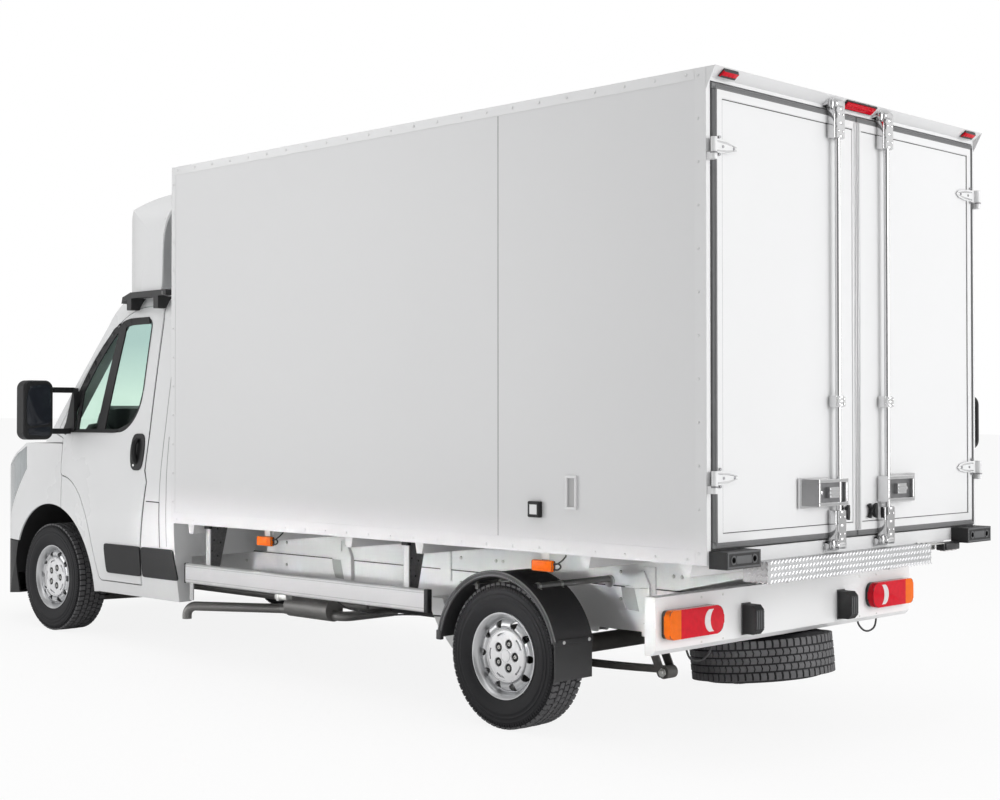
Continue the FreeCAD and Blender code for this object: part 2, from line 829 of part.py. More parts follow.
def side_guards():
    """Aluminium side rails with end caps, on posts and gussets under the cross bearers."""
    low, high = s.guard_x, s.guard_x + s.guard_thickness
    rail = prism("guard_rail", "XZ", [
        (low, s.guard_bottom),
        (high - 6, s.guard_bottom),
        (high, s.guard_bottom + 8),
        (high, s.guard_top - 8),
        (high - 6, s.guard_top),
        (low, s.guard_top),
    ], (s.guard_front, s.guard_rear))
    top = s.box_bottom
    pieces = [rail]
    for number, y in enumerate((1650, 3330)):
        pieces.append(block("guard_post_%d" % number, (low - 6, low), (y - 4, y + 36),
                            (s.guard_bottom + 6, top)))
        pieces.append(prism("guard_gusset_%d" % number, "XZ", [
            (low - 6, top),
            (low - 150, top),
            (low - 90, s.guard_top - 20),
            (low - 6, s.guard_bottom + 20),
        ], (y, y + 5)))
    foot = block("guard_foot", (low - 6, low), (1486, 1520), (s.guard_bottom - 100, s.guard_top))
    whole = join("guard_set", foot, *pieces)
    return node("side_guards", group("guards", whole, mirrored(whole)))


def rear_mudguards():
    """Moulded arches over the rear wheels with a flap behind."""
    centre = V(0, v.wheelbase - 10, v.mudguard_z)
    inner_x, outer_x = v.mudguard_inner_x, v.mudguard_outer_x
    outer_r, wall = v.mudguard_radius, v.mudguard_wall

    def arch_wire(radius, back_radius, first, last):
        points = [centre + V(0, radius * math.cos(math.radians(a)),
                             radius * math.sin(math.radians(a)))
                  for a in (first, (first + last) / 2, last)]
        inner = [centre + V(0, back_radius * math.cos(math.radians(a)),
                            back_radius * math.sin(math.radians(a)))
                 for a in (last, (first + last) / 2, first)]
        edges = [Part.Arc(*points).toShape(),
                 Part.LineSegment(points[2], inner[0]).toShape(),
                 Part.Arc(*inner).toShape(),
                 Part.LineSegment(inner[2], points[0]).toShape()]
        return Part.Face(Part.Wire(edges))

    first, last = 14, 172
    shell = arch_wire(outer_r, outer_r - wall, first, last)
    shell.translate(V(inner_x, 0, 0))
    guard = shell.extrude(V(outer_x - inner_x, 0, 0))
    lip = arch_wire(outer_r + 9, outer_r - wall - 12, first, last)
    lip.translate(V(outer_x - 12, 0, 0))
    guard = guard.fuse(lip.extrude(V(12, 0, 0)))
    start = centre + V(inner_x, outer_r * math.cos(math.radians(first)) - wall,
                       outer_r * math.sin(math.radians(first)) + 4)
    flap = Part.makeBox(outer_x - inner_x - 10, 7, v.flap_length + 4,
                        start - V(0, 0, v.flap_length + 4) + V(5, 0, 0))
    guard = guard.fuse(flap).removeSplitter()
    guard_solid = solid("mudguard_left", guard)
    stays = []
    for number, reach in enumerate((-210, 200)):
        height = math.sqrt(v.mudguard_radius ** 2 - reach ** 2)
        stays.append(rod("mudguard_stay_%d" % number,
                         (s.rail_outer, s.wheelbase - 10 + reach, s.mudguard_z + height),
                         s.mudguard_outer_x - s.rail_outer - 60, 14))
    whole = join("mudguard_set", guard_solid, *stays)
    return node("rear_mudguards", group("rear_mudguards", whole, mirrored(whole)))


def fuel_tank():
    """Tank between the rails."""
    rear = s.tank_front + s.tank_length
    tank = prism("tank_shell", "XZ", [
        (-s.tank_half_width, s.rail_top - 20 - s.tank_height),
        (s.tank_half_width, s.rail_top - 20 - s.tank_height),
        (s.tank_half_width, s.rail_top - 20),
        (-s.tank_half_width, s.rail_top - 20),
    ], (s.tank_front, rear), [(s.tank_round, (0, 1))])
    web = s.rail_outer - s.rail_wall
    straps = [block("tank_bearer_%d" % number, (-web, web), (y, y + 40),
                    (s.rail_top - 20, s.rail_top - s.rail_wall - 2))
              for number, y in enumerate((s.tank_front + 90, rear - 130))]
    return node("fuel_tank", join("tank_set", tank, *straps))


def bent_tube(points, radius, bend):
    """A round bar along straight runs, with bends of one radius between them."""
    points = [V(*point) for point in points]
    edges = []
    start = points[0]
    for before, corner, after in zip(points, points[1:], points[2:]):
        arrive = (corner - before).normalize()
        leave = (after - corner).normalize()
        half_turn = arrive.getAngle(leave) / 2
        back = bend * math.tan(half_turn)
        first, last = corner - arrive * back, corner + leave * back
        inward = (leave - arrive).normalize()
        middle = corner + inward * (bend / math.cos(half_turn) - bend)
        edges.append(line(start, first))
        edges.append(Part.Arc(first, middle, last).toShape())
        start = last
    edges.append(line(start, points[-1]))
    ring = Part.Wire(Part.makeCircle(radius, points[0], points[1] - points[0]))
    return Part.Wire(edges).makePipeShell([ring], True, False)


def exhaust():
    """Pipe from the engine to a silencer left of the frame, with a forward, down-turned tip."""
    z = v.exhaust_z
    x, front, rear = v.silencer_x, v.silencer_front, v.silencer_front + v.silencer_length
    pipe = bent_tube([(200, -260, v.engine_bottom + 60), (200, -260, z), (200, rear + 90, z),
                      (x, rear + 90, z), (x, rear - 4, z)], v.pipe_radius, 60)
    can = Part.makeCylinder(v.silencer_radius, v.silencer_length,
                            V(x, front, z + v.silencer_lift), V(0, 1, 0))
    tail = bent_tube([(x, front + 4, z), (x, front - 90, z), (905, 1362, z), (905, 1362, z - 75)],
                     v.pipe_radius, 55)
    hangers = [box_between((190, 210), (1640, 1660), (z, v.rail_bottom + v.cross_margin)),
               box_between((430, 450), (rear + 80, rear + 100), (z, v.rail_bottom)),
               box_between((440, x), (front + 120, front + 140), (v.rail_bottom - 14, v.rail_bottom)),
               box_between((x - 20, x), (front + 120, front + 140), (z + 40, v.rail_bottom))]
    whole = pipe.fuse([can, tail] + hangers)
    return node("exhaust", solid("exhaust_run", whole.removeSplitter()))


def spare_wheel():
    """Spare tyre on a plain disc, hung flat under the tail by a carrier."""
    outer = s.tyre_diameter / 2
    flat = spun("spare_tyre", tyre_outline() + [], 0)
    disc = rod("spare_disc", (-s.rim_width / 2 + 20, size(0), size(0)), 30, outer - 132)
    laid = join("spare_laid", flat, disc)
    turn = FreeCAD.Rotation(V(1, 0, 0), v.spare_tilt).multiply(FreeCAD.Rotation(V(0, 1, 0), -90))
    laid.Placement = FreeCAD.Placement(V(), turn)
    place(laid, s.spare_x, s.spare_y, s.spare_z)
    foot = s.spare_z - s.rim_width / 2 + 30
    carrier = rod("spare_carrier", (s.spare_x, s.spare_y, foot), s.rail_top - 40 - foot, 14, "z")
    bridge = block("spare_bridge", (-s.rail_outer + s.rail_wall, s.rail_outer - s.rail_wall),
                   (s.spare_y - 22, s.spare_y + 22), (s.rail_top - 60, s.rail_top - 30))
    return node("spare_wheel", join("spare_set", laid, carrier, bridge))


def level_point(x, y, z):
    """A point of the truck's own frame as a point of the raked body frame."""
    angle = math.radians(v.rake_angle)
    cosine, sine = math.cos(angle), math.sin(angle)
    far, high = v.wheelbase, v.rake_pivot_height
    dy = y - (v.front_axle_shift + far * (1 - cosine) + high * sine)
    dz = z - (high * (1 - cosine) - far * sine)
    return V(x, dy * cosine + dz * sine, dz * cosine - dy * sine)


def front_suspension():
    """Engine cradle, lower arms out to the ball joints and the stabiliser bar."""
    cradle = block("cradle", (-s.rail_outer, s.rail_outer), (-170, 170),
                   (s.rail_bottom - 60, s.rail_bottom))
    ball = level_point(kingpin_x(v.ball_z), v.front_axle_shift, v.ball_z)
    top = size(round(ball.z) + 14)
    arm = prism("lower_arm", "XY", [
        (s.rail_inner - 60, -150),
        (s.rail_inner - 60, 150),
        (s.kingpin_foot_x - 60, 44),
        (s.kingpin_foot_x + 16, 34),
        (s.kingpin_foot_x + 16, -34),
        (s.kingpin_foot_x - 60, -44),
    ], (top - 28, top))
    bore = rod("socket_bore", (size(ball.x), size(ball.y), top - 40), 60, 13, "z")
    cup = solid("socket_cup", Part.makeSphere(v.ball_radius + v.running_gap, ball))
    arm = carve("lower_arm_bored", arm, bore, cup)
    hang = block("arm_mount", (s.rail_inner - 60, s.rail_inner - 20), (-150, 150),
                 (top - 28, s.rail_bottom - 20))
    bar = rod("stabiliser", (-s.kingpin_foot_x + 250, size(190), s.rail_bottom - 40),
              (s.kingpin_foot_x - 250) * 2, 13)
    mount = block("stabiliser_mount", (s.rail_inner - 60, s.rail_inner - 20), (150, 205),
                  (s.rail_bottom - 60, s.rail_bottom))
    whole = join("front_suspension", cradle, arm, mirrored(arm), hang, mirrored(hang), bar,
                 mount, mirrored(mount))
    return node("front_suspension", whole)


def engine():
    """The engine and gearbox as one plain block."""
    block_part = block("engine_block", (-s.engine_half_width, s.engine_half_width),
                       (s.engine_front, s.engine_rear), (s.engine_bottom + 60, s.engine_top))
    return node("engine", block_part)


# Insulated box


def box_shell():
    """Floor, walls and roof of the load space, each a whole panel."""
    half = s.box_half_width
    inner = half - s.box_wall
    front = s.box_front
    rear = front + s.box_length - s.frame_depth
    low, high = s.box_bottom, s.box_bottom + s.box_height
    wall = s.box_wall
    node("box_left_wall", block("left_panel", (inner, half), (front, rear), (low, high)))
    node("box_right_wall", block("right_panel", (-half, -inner), (front, rear), (low, high)))
    node("box_front_wall", block("front_panel", (-inner, inner), (front, front + wall),
                                 (low, high)))
    node("box_floor", block("floor_panel", (-inner, inner), (front + wall, rear),
                            (low, low + s.box_floor_thickness)))
    node("box_roof", block("roof_panel", (-inner, inner), (front + wall, rear),
                           (high - wall, high)))


def rear_frame():
    """Portal round the doors with a header that leans out over them."""
    half = s.box_half_width
    rear = s.box_front + s.box_length
    front = rear - s.frame_depth
    pin_y = rear + s.hinge_pin_reach
    low, high = s.box_bottom, s.box_bottom + s.box_height
    outside = block("portal", (-half, half), (front, rear), (low, high))
    opening = block("portal_opening", (-half + s.frame_post, half - s.frame_post),
                    (front - 1, rear + 1), (low + s.frame_sill, high - s.frame_header))
    header = prism("header", "YZ", [
        (rear, high - s.header_slant + s.frame_header),
        (rear + s.header_reach, high),
        (rear, high),
    ], (-half, half))
    cheek = prism("header_cheek", "YZ", [
        (rear, high - s.header_slant),
        (rear + s.header_reach, high),
        (rear, high),
    ], (half - 5, half))
    knuckles = []
    for number, z in enumerate((s.hinge_low_z, s.hinge_high_z)):
        wing = block("hinge_wing_%d" % number, (s.hinge_pin_x - 11, s.hinge_pin_x + 11),
                     (rear, pin_y), (z - s.hinge_height / 2, z - s.hinge_height / 6))
        barrel = rod("hinge_barrel_%d" % number,
                     (s.hinge_pin_x, pin_y, z - s.hinge_height / 2),
                     s.hinge_height / 3, s.hinge_barrel_radius, "z")
        pin = rod("hinge_pin_%d" % number,
                  (s.hinge_pin_x, pin_y, z - s.hinge_height / 2), s.hinge_height,
                  s.hinge_pin_radius, "z")
        knuckles += [wing, barrel, pin]
    left = join("frame_hinges", *knuckles)
    frame = carve("portal_frame", outside, opening)
    whole = join("rear_frame", frame, header, cheek, mirrored(cheek), left, mirrored(left))
    return node("rear_frame", whole)


def rear_step():
    """Chequer-plate step below the sill."""
    rear = s.box_front + s.box_length
    step = block("step_plate", (s.step_right, s.step_left), (rear - 40, rear + s.step_depth),
                 (s.box_bottom - s.step_height, s.box_bottom))
    hollow = block("step_hollow", (s.step_right + 5, s.step_left - 5),
                   (rear - 60, rear + s.step_depth - 5),
                   (s.box_bottom - s.step_height - 1, s.box_bottom - 5))
    return node("rear_step", carve("rear_step", step, hollow))


def rear_door(side):
    """Insulated leaf with a gasket flange, a flat outer frame and its hinge straps."""
    name = "left" if side > 0 else "right"
    rear = s.box_front + s.box_length
    pin_y = rear + s.hinge_pin_reach
    outer = s.box_half_width - s.frame_post - s.door_gap
    low = s.box_bottom + s.frame_sill + s.door_gap
    high = s.box_bottom + s.box_height - s.frame_header - s.door_gap
    gasket = s.gasket_width
    half_meet = s.meeting_gap / 2
    back = rear - s.frame_depth + s.door_gap
    seal = block("door_seal_" + name, (half_meet, outer), (back, rear - s.gasket_recess),
                 (low, high))
    leaf = block("door_slab_" + name, (half_meet, outer - gasket),
                 (rear - s.gasket_recess, rear + s.door_proud - 4),
                 (low + gasket, high - gasket))
    border = block("door_border_" + name, (half_meet, outer - gasket),
                   (rear, rear + s.door_proud), (low + gasket, high - gasket))
    window = block("door_field_" + name, (half_meet + 34, outer - gasket - 34),
                   (rear - 1, rear + s.door_proud + 1), (low + gasket + 34, high - gasket - 34))
    pieces = [seal, leaf, carve("door_rim_" + name, border, window)]
    for number, z in enumerate((s.hinge_low_z, s.hinge_high_z)):
        top = z + s.hinge_height / 2
        bottom = z - s.hinge_height / 6 + 1
        middle = z + s.hinge_height / 6
        tip = s.hinge_pin_x - s.hinge_strap_reach
        strap = prism("strap_%s_%d" % (name, number), "XZ", [
            (s.hinge_pin_x, bottom),
            (s.hinge_pin_x, top),
            (tip + 80, top - 4),
            (tip + 22, middle + 16),
            (tip, middle),
            (tip + 22, middle - 16),
            (tip + 80, bottom + 4),
        ], (rear + s.door_proud, rear + s.door_proud + s.hinge_strap))
        barrel = rod("strap_barrel_%s_%d" % (name, number),
                     (s.hinge_pin_x, pin_y, bottom), top - bottom,
                     s.hinge_barrel_radius, "z")
        web = block("strap_web_%s_%d" % (name, number),
                    (s.hinge_pin_x - 12, s.hinge_pin_x),
                    (rear + s.door_proud, pin_y), (bottom, top))
        pieces += [strap, barrel, web]
    bores = [rod("strap_bore_%s_%d" % (name, number),
                 (s.hinge_pin_x, pin_y, z - s.hinge_height), s.hinge_height * 2,
                 s.hinge_pin_radius + s.running_gap, "z")
             for number, z in enumerate((s.hinge_low_z, s.hinge_high_z))]
    whole = carve("rear_leaf_bored_" + name, join("rear_leaf_" + name, *pieces), *bores)
    if side < 0:
        whole = mirrored(whole)
    return node("rear_door_" + name, whole)


def rear_lock(side):
    """Locking rod with its guides, cams and paddle handle."""
    name = "left" if side > 0 else "right"
    face = s.box_front + s.box_length + s.door_proud
    low = s.box_bottom + s.frame_sill / 2
    high = s.box_bottom + s.box_height - s.frame_header / 2
    y = face + s.rod_stand_off
    bar = rod("lock_bar_" + name, (s.rod_x, y, low), high - low, s.rod_radius, "z")
    pieces = [bar]
    for number, (z, tall, half) in enumerate(((low + 92, 68, 30), (s.rod_mid_z, 22, 27),
                                              (high - 92, 68, 30))):
        pieces.append(block("guide_%s_%d" % (name, number), (s.rod_x - half, s.rod_x + half),
                            (face, y + s.rod_radius + 6), (z - tall, z + tall)))
    for number, z in enumerate((low + 6, high - 22)):
        pieces.append(block("cam_%s_%d" % (name, number), (s.rod_x - 38, s.rod_x + 38),
                            (y - 12, y + 14), (z - 4, z + 18)))
    deep = face + s.paddle_depth
    half = s.paddle_height / 2
    tray = block("paddle_tray_" + name, (s.rod_x + 60, s.rod_x + 275), (face, face + 12),
                 (s.paddle_z - half - 6, s.paddle_z + half + 6))
    case = block("paddle_case_" + name, (s.rod_x - 36, s.rod_x + s.paddle_width),
                 (face, deep), (s.paddle_z - half, s.paddle_z + half))
    recess = block("paddle_recess_" + name, (s.rod_x - 22, s.rod_x + s.paddle_width - 14),
                   (deep - 16, deep + 1), (s.paddle_z - half + 14, s.paddle_z + half - 14))
    grip = block("paddle_grip_" + name, (s.rod_x + 40, s.rod_x + 118), (deep - 18, deep + 4),
                 (s.paddle_z - 24, s.paddle_z + 24))
    pieces += [tray, carve("paddle_" + name, case, recess), grip]
    whole = join("lock_set_" + name, *pieces)
    if side < 0:
        whole = mirrored(whole)
    return node("rear_lock_" + name, whole)


# Cab shapes shared by its panels


def curve(points):
    """A smooth edge through points."""
    spline = Part.BSplineCurve()
    spline.interpolate(points)
    return spline.toShape()


def line(start, end):
    return Part.LineSegment(start, end).toShape()


def screen_point(along):
    """A point of the windscreen's centre line, by its height above the base."""
    slope = math.tan(math.radians(v.screen_slope))
    return V(0, v.screen_base_y + along / slope, v.screen_base_z + along)


def inset(loop, distance):
    """Corners of a closed outline moved inwards by a distance."""
    area = sum(p[0] * q[1] - q[0] * p[1] for p, q in zip(loop, loop[1:] + loop[:1]))
    turn = 1 if area > 0 else -1
    moved = []
    for before, here, after in zip(loop[-1:] + loop[:-1], loop, loop[1:] + loop[:1]):
        arrive = unit(before, here)
        leave = unit(here, after)
        normal = (-(arrive[1] + leave[1]) * turn, (arrive[0] + leave[0]) * turn)
        spread = 1 + arrive[0] * leave[0] + arrive[1] * leave[1]
        moved.append((here[0] + normal[0] * distance / spread,
                      here[1] + normal[1] * distance / spread))
    return moved


def unit(start, end):
    """Direction from one point to another."""
    length = math.hypot(end[0] - start[0], end[1] - start[1])
    return ((end[0] - start[0]) / length, (end[1] - start[1]) / length)


def outline_face(stretches, shrink, plane):
    """A face from stretches that follow on: two points make a line, more a smooth curve."""
    loop = [point for stretch in stretches for point in stretch[:-1]]
    if shrink:
        loop = inset(loop, shrink)
    loop.append(loop[0])
    edges = []
    start = 0
    for stretch in stretches:
        end = start + len(stretch) - 1
        points = [in_plane(point, plane) for point in loop[start:end + 1]]
        edges.append(line(*points) if len(points) == 2 else curve(points))
        start = end
    return Part.Face(Part.Wire(edges))


def in_plane(point, plane):
    """A flat point as a point of the side, front or plan view."""
    a, b = point
    return {"YZ": V(0, a, b), "XZ": V(a, 0, b), "XY": V(a, b, 0)}[plane]


def side_face(shrink):
    """Silhouette of the cab from the side."""
    low, rear = v.sill_height, v.cab_rear
    base = screen_point(0)
    head = screen_point(v.roof_seam - v.screen_base_z)
    nose = [(-872, 262), (-934, 340), (-948, 480), (-938, 640), (-905, 800), (-850, 925)]
    cowl = (base.y - 22, base.z - 6)
    return outline_face([
        nose,
        [nose[-1], (-770, 1025), (-590, 1150), cowl],
        [cowl, (base.y, base.z)],
        [(base.y, base.z), (head.y, head.z)],
        [(head.y, head.z), (560, 2213), (800, 2255), (1100, 2275), (rear, 2280)],
        [(rear, 2280), (rear, low)],
        [(rear, low), (540, low)],
        [(540, low), nose[0]],
    ], shrink, "YZ")


def front_face(shrink):
    """Front view of the cab: sill, belt, leaning glass and a round roof."""
    side = [(965, 255), (985, 385), (1012, 600), (1026, 850), (1020, 1080), (990, 1340),
            (935, 1720), (884, 2040)]
    top = [(884, 2040), (852, 2150), (770, 2226), (600, 2263), (0, 2282)]
    return outline_face([
        side,
        top + mirror_points(top)[1:],
        mirror_points(side),
        [(-965, 255), (965, 255)],
    ], shrink, "XZ")


def plan_face(shrink):
    """Plan of the cab: bowed nose, round corners, straight sides."""
    rear = v.cab_rear
    corner = [(0, -950), (420, -925), (740, -835), (915, -690), (990, -520), (1018, -300),
              (1030, 0)]
    return outline_face([
        mirror_points(corner) + corner[1:],
        [(1030, 0), (1030, rear)],
        [(1030, rear), (-1030, rear)],
        [(-1030, rear), (-1030, 0)],
    ], shrink, "XY")


def mirror_points(points):
    """The same points on the other side, in turned order."""
    return [(-a, b) for a, b in reversed(points)]


def cab_form(shrink):
    """The cab's outer form, or the same form a wall further in."""
    side = side_face(shrink)
    side.translate(V(-1200, 0, 0))
    form = side.extrude(V(2400, 0, 0))
    front = front_face(shrink)
    front.translate(V(0, -1200, 0))
    form = form.common(front.extrude(V(0, 3000, 0)))
    form = form.common(plan_face(shrink).extrude(V(0, 0, 3000)))
    slope = math.radians(v.screen_slope)
    axis = V(0, math.cos(slope), math.sin(slope))
    inward = V(0, math.sin(slope), -math.cos(slope))
    centre = screen_point(0) + inward * v.screen_radius - axis * 2000
    drum = Part.makeCylinder(v.screen_radius - shrink, 5000, centre, axis)
    upper = Part.makeBox(2600, 3000, 1500, V(-1300, -1200, v.screen_base_z - 6))
    above = form.common(upper).common(drum)
    below = form.cut(upper)
    return above.fuse(below).removeSplitter()


def yz_prism(points, low, high, rounds=()):
    """A flat outline in the side view pushed across the cab."""
    corners = [V(0, float(y), float(z)) for y, z in points]
    wire = Part.makePolygon(corners + corners[:1])
    face = Part.Face(wire)
    face.translate(V(low, 0, 0))
    return face.extrude(V(high - low, 0, 0))


def door_line():
    """Shut line of the cab door in the side view."""
    return [
        [(547, 470), (497, 654), (432, 850), (318, 1010), (150, 1082)],
        [(150, 1082), (128, 1100)],
        [(128, 1100), (112, 1320)],
        [(112, 1320), (30, 1345)],
        [(30, 1345), (240, 1660), (440, 1900), (645, 2061), (850, 2130)],
        [(850, 2130), (1078, 2138)],
        [(1078, 2138), (1090, 1355)],
        [(1090, 1355), (1082, 1139)],
        [(1082, 1139), (1108, 1071)],
        [(1108, 1071), (1040, 683)],
        [(1040, 683), (1020, 449)],
        [(1020, 449), (575, 449)],
        [(575, 449), (547, 470)],
    ]


def window_line():
    """Glass opening of the cab door in the side view."""
    return [
        [(730, 1362), (868, 1405), (945, 1500), (968, 1610)],
        [(968, 1610), (966, 2025)],
        [(966, 2025), (930, 2060)],
        [(930, 2060), (630, 2042)],
        [(630, 2042), (445, 1885), (270, 1650), (110, 1362)],
        [(110, 1362), (730, 1362)],
    ]


def pushed(stretches, low, high, shrink=0):
    """An outline of the side view, moved in by a distance and pushed from low to high in X."""
    face = outline_face(stretches, shrink, "YZ")
    face.translate(V(low, 0, 0))
    return face.extrude(V(high - low, 0, 0))


def biggest(shape):
    """The largest solid of a cut result."""
    return max(shape.Solids, key=lambda part: part.Volume)


def box_between(x, y, z):
    return Part.makeBox(x[1] - x[0], y[1] - y[0], z[1] - z[0], V(x[0], y[0], z[0]))


def flipped(shape):
    return shape.mirror(V(), V(1, 0, 0))


def screen_cutter(margin, depth):
    """The slab of the windscreen between the pillars, the cowl and the roof."""
    slope = math.radians(v.screen_slope)
    low = screen_point(margin)
    high = screen_point(v.roof_seam - v.screen_base_z - margin)
    half_low, half_high = 880 - margin, 800 - margin
    wire = Part.makePolygon([
        V(-half_low, 0, low.z), V(half_low, 0, low.z), V(half_high, 0, high.z),
        V(-half_high, 0, high.z), V(-half_low, 0, low.z)])
    face = Part.Face(wire)
    face.translate(V(0, -900, 0))
    return face.extrude(V(0, depth, 0))


def cab():
    """Splits the cab's skin where the real panels meet."""
    outer = cab_form(0)
    thick = outer.cut(cab_form(v.cab_wall))
    thin = outer.cut(cab_form(v.sheet_wall))
    arch = wheel_arch()
    gap = v.panel_gap
    firewall = v.firewall_y
    far = 3000

    tunnel = box_between((-v.sill_inner, v.sill_inner), (-1000, 1600), (0, v.rail_top))
    cabin = thick.cut(arch).cut(tunnel)
    door_open = pushed(door_line(), 560, 1200)
    door_leaf = pushed(door_line(), 560, 1200, gap)
    window = pushed(window_line(), 560, 1200)
    door = cabin.common(door_leaf)
    door = biggest(door.cut(window))
    node("cab_door_left", solid("cab_door_left", door))
    node("cab_door_right", solid("cab_door_right", flipped(door)))
    pane_skin = cab_form(v.door_glass_inset).cut(cab_form(v.door_glass_inset + v.door_glass))
    pane = biggest(pane_skin.common(pushed(window_line(), 560, 1200, 0.3)))
    node("door_glass_left", solid("door_glass_left", pane))
    node("door_glass_right", solid("door_glass_right", flipped(pane)))

    body = cabin.cut(door_open).cut(flipped(door_open))
    screen = screen_cutter(v.screen_margin, 1500)
    roof_zone = box_between((-900, 900), (-900, far), (v.roof_seam, far))
    front_zone = box_between((-1200, 1200), (-far, v.fender_rear), (0, v.screen_base_z - 6))
    shell = body.cut(screen).cut(front_zone)
    roof = biggest(shell.common(roof_zone))
    node("cab_roof", solid("cab_roof", roof))
    frame = shell.cut(roof_zone)
    node("cab_body", solid("cab_body", biggest(frame)))
    glass_skin = cab_form(12).cut(cab_form(12 + v.screen_glass))
    glass = glass_skin.common(screen_cutter(v.screen_margin + 0.3, 1500))
    node("windscreen", solid("windscreen", biggest(glass)))
    front_panels(outer, thin, arch)


def front_panels(outer, thin, arch):
    """Bonnet, fenders, bumper, grille and headlamps of the nose."""
    gap = v.panel_gap
    top = v.screen_base_z - 6
    half = v.bonnet_half_width
    thin = thin.cut(arch)
    nose = thin.common(box_between((-1200, 1200), (-1000, v.fender_rear - gap), (0, top - gap)))
    hood_zone = box_between((-half, half), (-1000, v.fender_rear), (905, far_up()))
    bonnet = biggest(nose.common(hood_zone))
    y, z = v.bonnet_pin_y, v.bonnet_pin_z
    lug = yz_prism([(y - 110, z - 14), (y + 14, z - 14), (y + 14, z + 14), (y - 30, z + 60),
                    (y - 110, z + 60)], 584, 597)
    lug = lug.common(cab_form(v.sheet_wall - 2))
    lug = lug.cut(Part.makeCylinder(6 + v.running_gap, 40, V(570, y, z), V(1, 0, 0)))
    bonnet = bonnet.fuse([lug, flipped(lug)])
    node("bonnet", solid("bonnet_skin", bonnet))
    bumper_zone = box_between((-1200, 1200), (-1000, 560), (0, v.bumper_top))
    bumper = biggest(nose.common(bumper_zone).common(
        box_between((-1200, 1200), (-1000, -300), (0, far_up()))))
    node("front_bumper", solid("front_bumper", bumper))
    grille_zone = box_between((-520, 520), (-1000, -700), (v.bumper_top + gap, 905 - gap))
    grille = biggest(nose.common(grille_zone))
    slots = [box_between((-460, 460), (-1100, -600), (z, z + 22))
             for z in (690, 730, 770, 810)]
    for slot in slots:
        grille = grille.cut(slot)
    node("grille", solid("grille", biggest(grille)))
    lamp_zone = yz_prism([(-1000, 760), (-640, 760), (-300, 1120), (-330, 1262), (-560, 1150),
                          (-1000, 1000)], half + gap, 1200)
    lamp = nose.common(lamp_zone)
    node("headlamps", solid("headlamps", Part.makeCompound([biggest(lamp), flipped(biggest(lamp))])))
    fender = nose.cut(box_between((-half - gap, half + gap), (-1000, far_up()), (905, far_up())))
    fender = fender.cut(box_between((-1200, 1200), (-1000, far_up()), (0, v.bumper_top + gap)))
    fender = fender.cut(box_between((-520 - gap, 520 + gap), (-1000, far_up()), (0, far_up())))
    fender = fender.cut(pushed(door_line(), 560, 1200)).cut(flipped(pushed(door_line(), 560, 1200)))
    grown = yz_prism([(-1000, 757), (-638, 757), (-297, 1119), (-327, 1266), (-560, 1154),
                      (-1000, 1004)], half, 1200)
    fender = fender.cut(grown).cut(flipped(grown))
    left = biggest(fender.common(box_between((0, 1300), (-1000, far_up()), (0, far_up()))))
    node("front_fenders", solid("front_fenders", Part.makeCompound([left, flipped(left)])))


def far_up():
    return 3000


def cab_floor():
    """Cab floor with its firewall and the walls of both wheel housings."""
    low = v.rail_top
    high = low + v.cab_floor_thickness
    inner = 960 - v.cab_wall
    rear_y = v.cab_rear - v.cab_wall - 0.3
    arch_back = v.arch_y + v.arch_radius
    side = v.wheelhouse_x
    rear_plate = box_between((-inner, inner), (arch_back, rear_y), (low, high))
    front_plate = box_between((-side + 12, side - 12), (v.firewall_y, arch_back + 1), (low, high))
    wall = box_between((-1200, 1200), (v.firewall_y - v.firewall_thickness, v.firewall_y),
                       (low, 1180)).common(cab_form(v.sheet_wall + 0.2))
    whole = rear_plate.fuse([front_plate, wall])
    outer = Part.makeCylinder(v.arch_radius + 12, inner - side, V(side, v.arch_y, v.arch_z), V(1, 0, 0))
    reach = 1200 - side
    inside = Part.makeCylinder(v.arch_radius, reach, V(side, v.arch_y, v.arch_z), V(1, 0, 0))
    cheek = Part.makeCylinder(v.arch_radius + 12, 12, V(side - 12, v.arch_y, v.arch_z), V(1, 0, 0))
    keep = box_between((0, 1300), (v.firewall_y - v.firewall_thickness, 900), (low, 2000))
    house = outer.cut(inside).fuse(cheek).common(keep)
    hole = inside.fuse(box_between((side, 1200), (-900, arch_back), (0, v.arch_z)))
    y, z = v.bonnet_pin_y, v.bonnet_pin_z
    bracket = yz_prism([(v.firewall_y - 20, 1090), (v.firewall_y - 20, 1180), (y + 12, z + 12),
                        (y - 12, z + 12), (y - 12, z - 12)], 598, 606)
    pin = Part.makeCylinder(6, 26, V(580, y, z), V(1, 0, 0))
    hinge = bracket.fuse(pin)
    whole = whole.cut(hole).cut(flipped(hole))
    whole = whole.fuse([house, flipped(house), hinge, flipped(hinge)])
    node("cab_floor", solid("cab_floor", whole.removeSplitter()))


